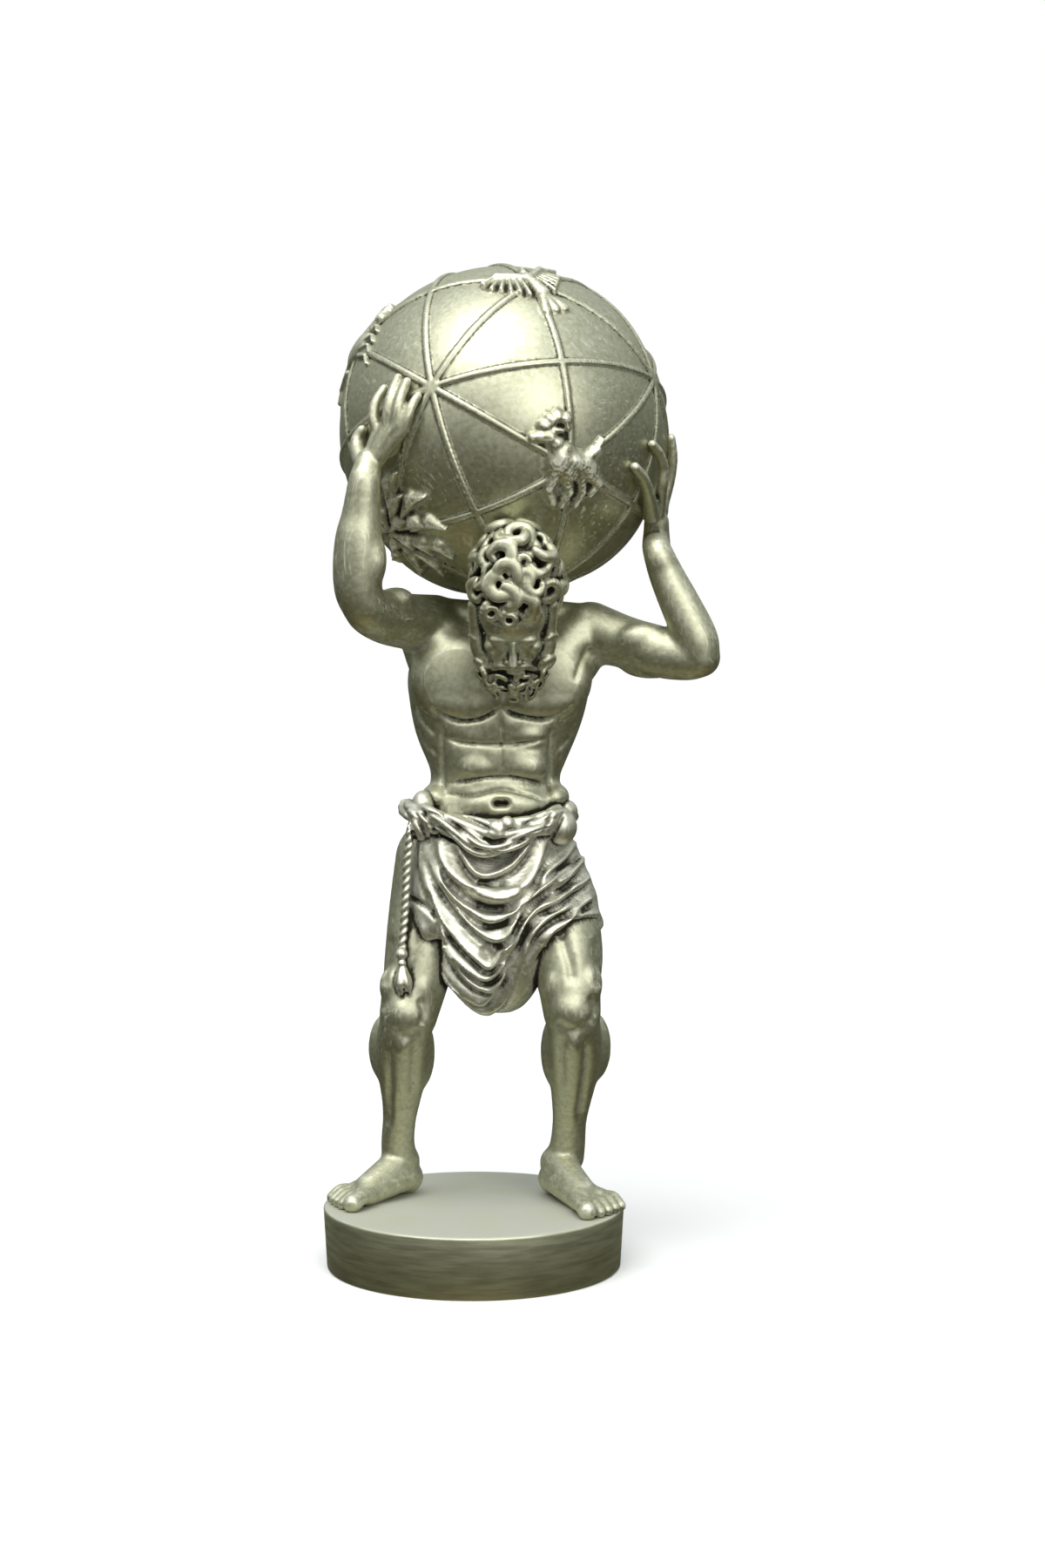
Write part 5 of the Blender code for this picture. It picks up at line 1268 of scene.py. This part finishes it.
# Each softbox: its place, width and height in metres, and its power in watts. All aim at the statue.
SOFTBOXES = {"front_softbox": ((0.30, -1.75, 0.90), (1.3, 0.55), 2.8),
             "left_softbox": ((-1.3, -1.1, 1.0), (0.6, 0.9), 1.8),
             "right_softbox": ((0.9, -1.5, 0.95), (0.9, 0.9), 10.5)}
SOFTBOX_AIM = Vector((0.0, 0.0, 0.3))
CEILING_WAY, CEILING_SPREAD, CEILING_STRENGTH = Vector((-0.17, -0.41, 0.89)), math.radians(48), 2.3
# The studio round the statue, from straight down to straight up: warm floor, dark walls, pale ceiling.
STUDIO = [(0.0, (0.40, 0.34, 0.18, 1)), (0.09, (0.10, 0.09, 0.055, 1)), (0.46, (0.05, 0.055, 0.04, 1)),
          (0.66, (0.34, 0.36, 0.34, 1)), (1.0, (0.82, 0.87, 0.92, 1))]
# The camera's place and what it looks at, in metres.
EYE, EYE_AIM = Vector((0.0245, -1.350, 0.337)), Vector((0.0245, 0, 0.2425))
# The lens: a focal length of 3118 rows in a picture of 1800 rows, on a film 36 mm tall.
FILM = 36
LENS = 3118 / 1800 * FILM
FLOOR_SIZE = 8


class ATLAS_OT_stage(bpy.types.Operator):
    """Set the pale floor and backdrop, the studio light and the camera"""
    bl_idname = "atlas.stage"
    bl_label = "Stage"

    def execute(self, context):
        bm = bmesh.new()
        bmesh.ops.create_grid(bm, x_segments=1, y_segments=1, size=FLOOR_SIZE)
        floor = add_object("studio_floor", to_mesh(bm, "studio_floor"))
        # Matt white background paper: no gloss, and it takes the statue's soft shadow.
        paper = bpy.data.materials.new("white_paper")
        paper.use_nodes = True
        shader = paper.node_tree.nodes["Principled BSDF"]
        shader.inputs["Base Color"].default_value = linear("#f2f2f0")
        shader.inputs["Roughness"].default_value = 0.9
        floor.data.materials.append(paper)
        floor.visible_glossy = False
        self.light_studio(context)
        for name, (place, size, watts) in SOFTBOXES.items():
            box = bpy.data.lights.new(name, "AREA")
            box.shape = "RECTANGLE"
            box.size, box.size_y = size
            box.energy = watts
            lamp = add_object(name, box)
            lamp.location = place
            lamp.rotation_euler = (SOFTBOX_AIM - Vector(place)).to_track_quat("-Z", "Y").to_euler()
        sun = bpy.data.lights.new("ceiling_light", "SUN")
        sun.angle, sun.energy = CEILING_SPREAD, CEILING_STRENGTH
        add_object("ceiling_light", sun).rotation_euler = CEILING_WAY.to_track_quat("Z", "Y").to_euler()
        camera = bpy.data.cameras.new("camera")
        camera.sensor_width, camera.lens = FILM, LENS
        eye = add_object("camera", camera)
        eye.location = EYE
        eye.rotation_euler = (EYE_AIM - EYE).to_track_quat("-Z", "Y").to_euler()
        context.scene.camera = eye
        context.scene.view_settings.view_transform = "Standard"
        return {"FINISHED"}

    def light_studio(self, context):
        """The studio's shades by height for what the paint reflects, and white behind for the camera."""
        world = bpy.data.worlds.new("studio")
        context.scene.world = world
        world.use_nodes = True
        tree = world.node_tree
        way = add_node(tree, "ShaderNodeTexCoord", output="Generated")
        up = add_node(tree, "ShaderNodeSeparateXYZ", None, {0: way}, "Z")
        level = add_node(tree, MATH, TIMES_PLUS, {0: up, 1: 0.5, 2: 0.5})
        shades = add_node(tree, RAMP, {"stops": STUDIO}, {0: level})
        seen = add_node(tree, "ShaderNodeLightPath", output="Is Camera Ray")
        white = (1.0, 1.0, 1.0, 1.0)
        behind = add_node(tree, MIX, COLOURS, {0: seen, 6: shades, 7: white}, 2)
        tree.links.new(behind, tree.nodes["Background"].inputs[0])


OPERATORS = (ATLAS_OT_plinth, ATLAS_OT_globe, ATLAS_OT_man, ATLAS_OT_head, ATLAS_OT_cloth, ATLAS_OT_wash_and_shade,
             ATLAS_OT_stage)


class ATLAS_PT_panel(bpy.types.Panel):
    """Sizes, colours and steps of the statue"""
    bl_idname = "ATLAS_PT_panel"
    bl_label = "Atlas statue"
    bl_space_type = "VIEW_3D"
    bl_region_type = "UI"
    bl_category = "Atlas"

    def draw(self, context):
        column = self.layout.column()
        for group in (context.scene.atlas_sizes, context.scene.atlas_colours):
            for name in group.bl_rna.properties.keys():
                if name not in ("rna_type", "name"):
                    column.prop(group, name)
        for operator in OPERATORS:
            column.operator(operator.bl_idname)


CLASSES = (AtlasSizes, AtlasColours, *OPERATORS, ATLAS_PT_panel)


def register():
    for cls in CLASSES:
        bpy.utils.register_class(cls)
    bpy.types.Scene.atlas_sizes = bpy.props.PointerProperty(type=AtlasSizes)
    bpy.types.Scene.atlas_colours = bpy.props.PointerProperty(type=AtlasColours)


def unregister():
    del bpy.types.Scene.atlas_colours
    del bpy.types.Scene.atlas_sizes
    for cls in reversed(CLASSES):
        bpy.utils.unregister_class(cls)


def main():
    register()
    bpy.ops.atlas.plinth()
    bpy.ops.atlas.globe()
    bpy.ops.atlas.man()
    bpy.ops.atlas.head()
    bpy.ops.atlas.cloth()
    bpy.ops.atlas.wash()
    bpy.ops.atlas.stage()


if __name__ == "__main__":
    main()
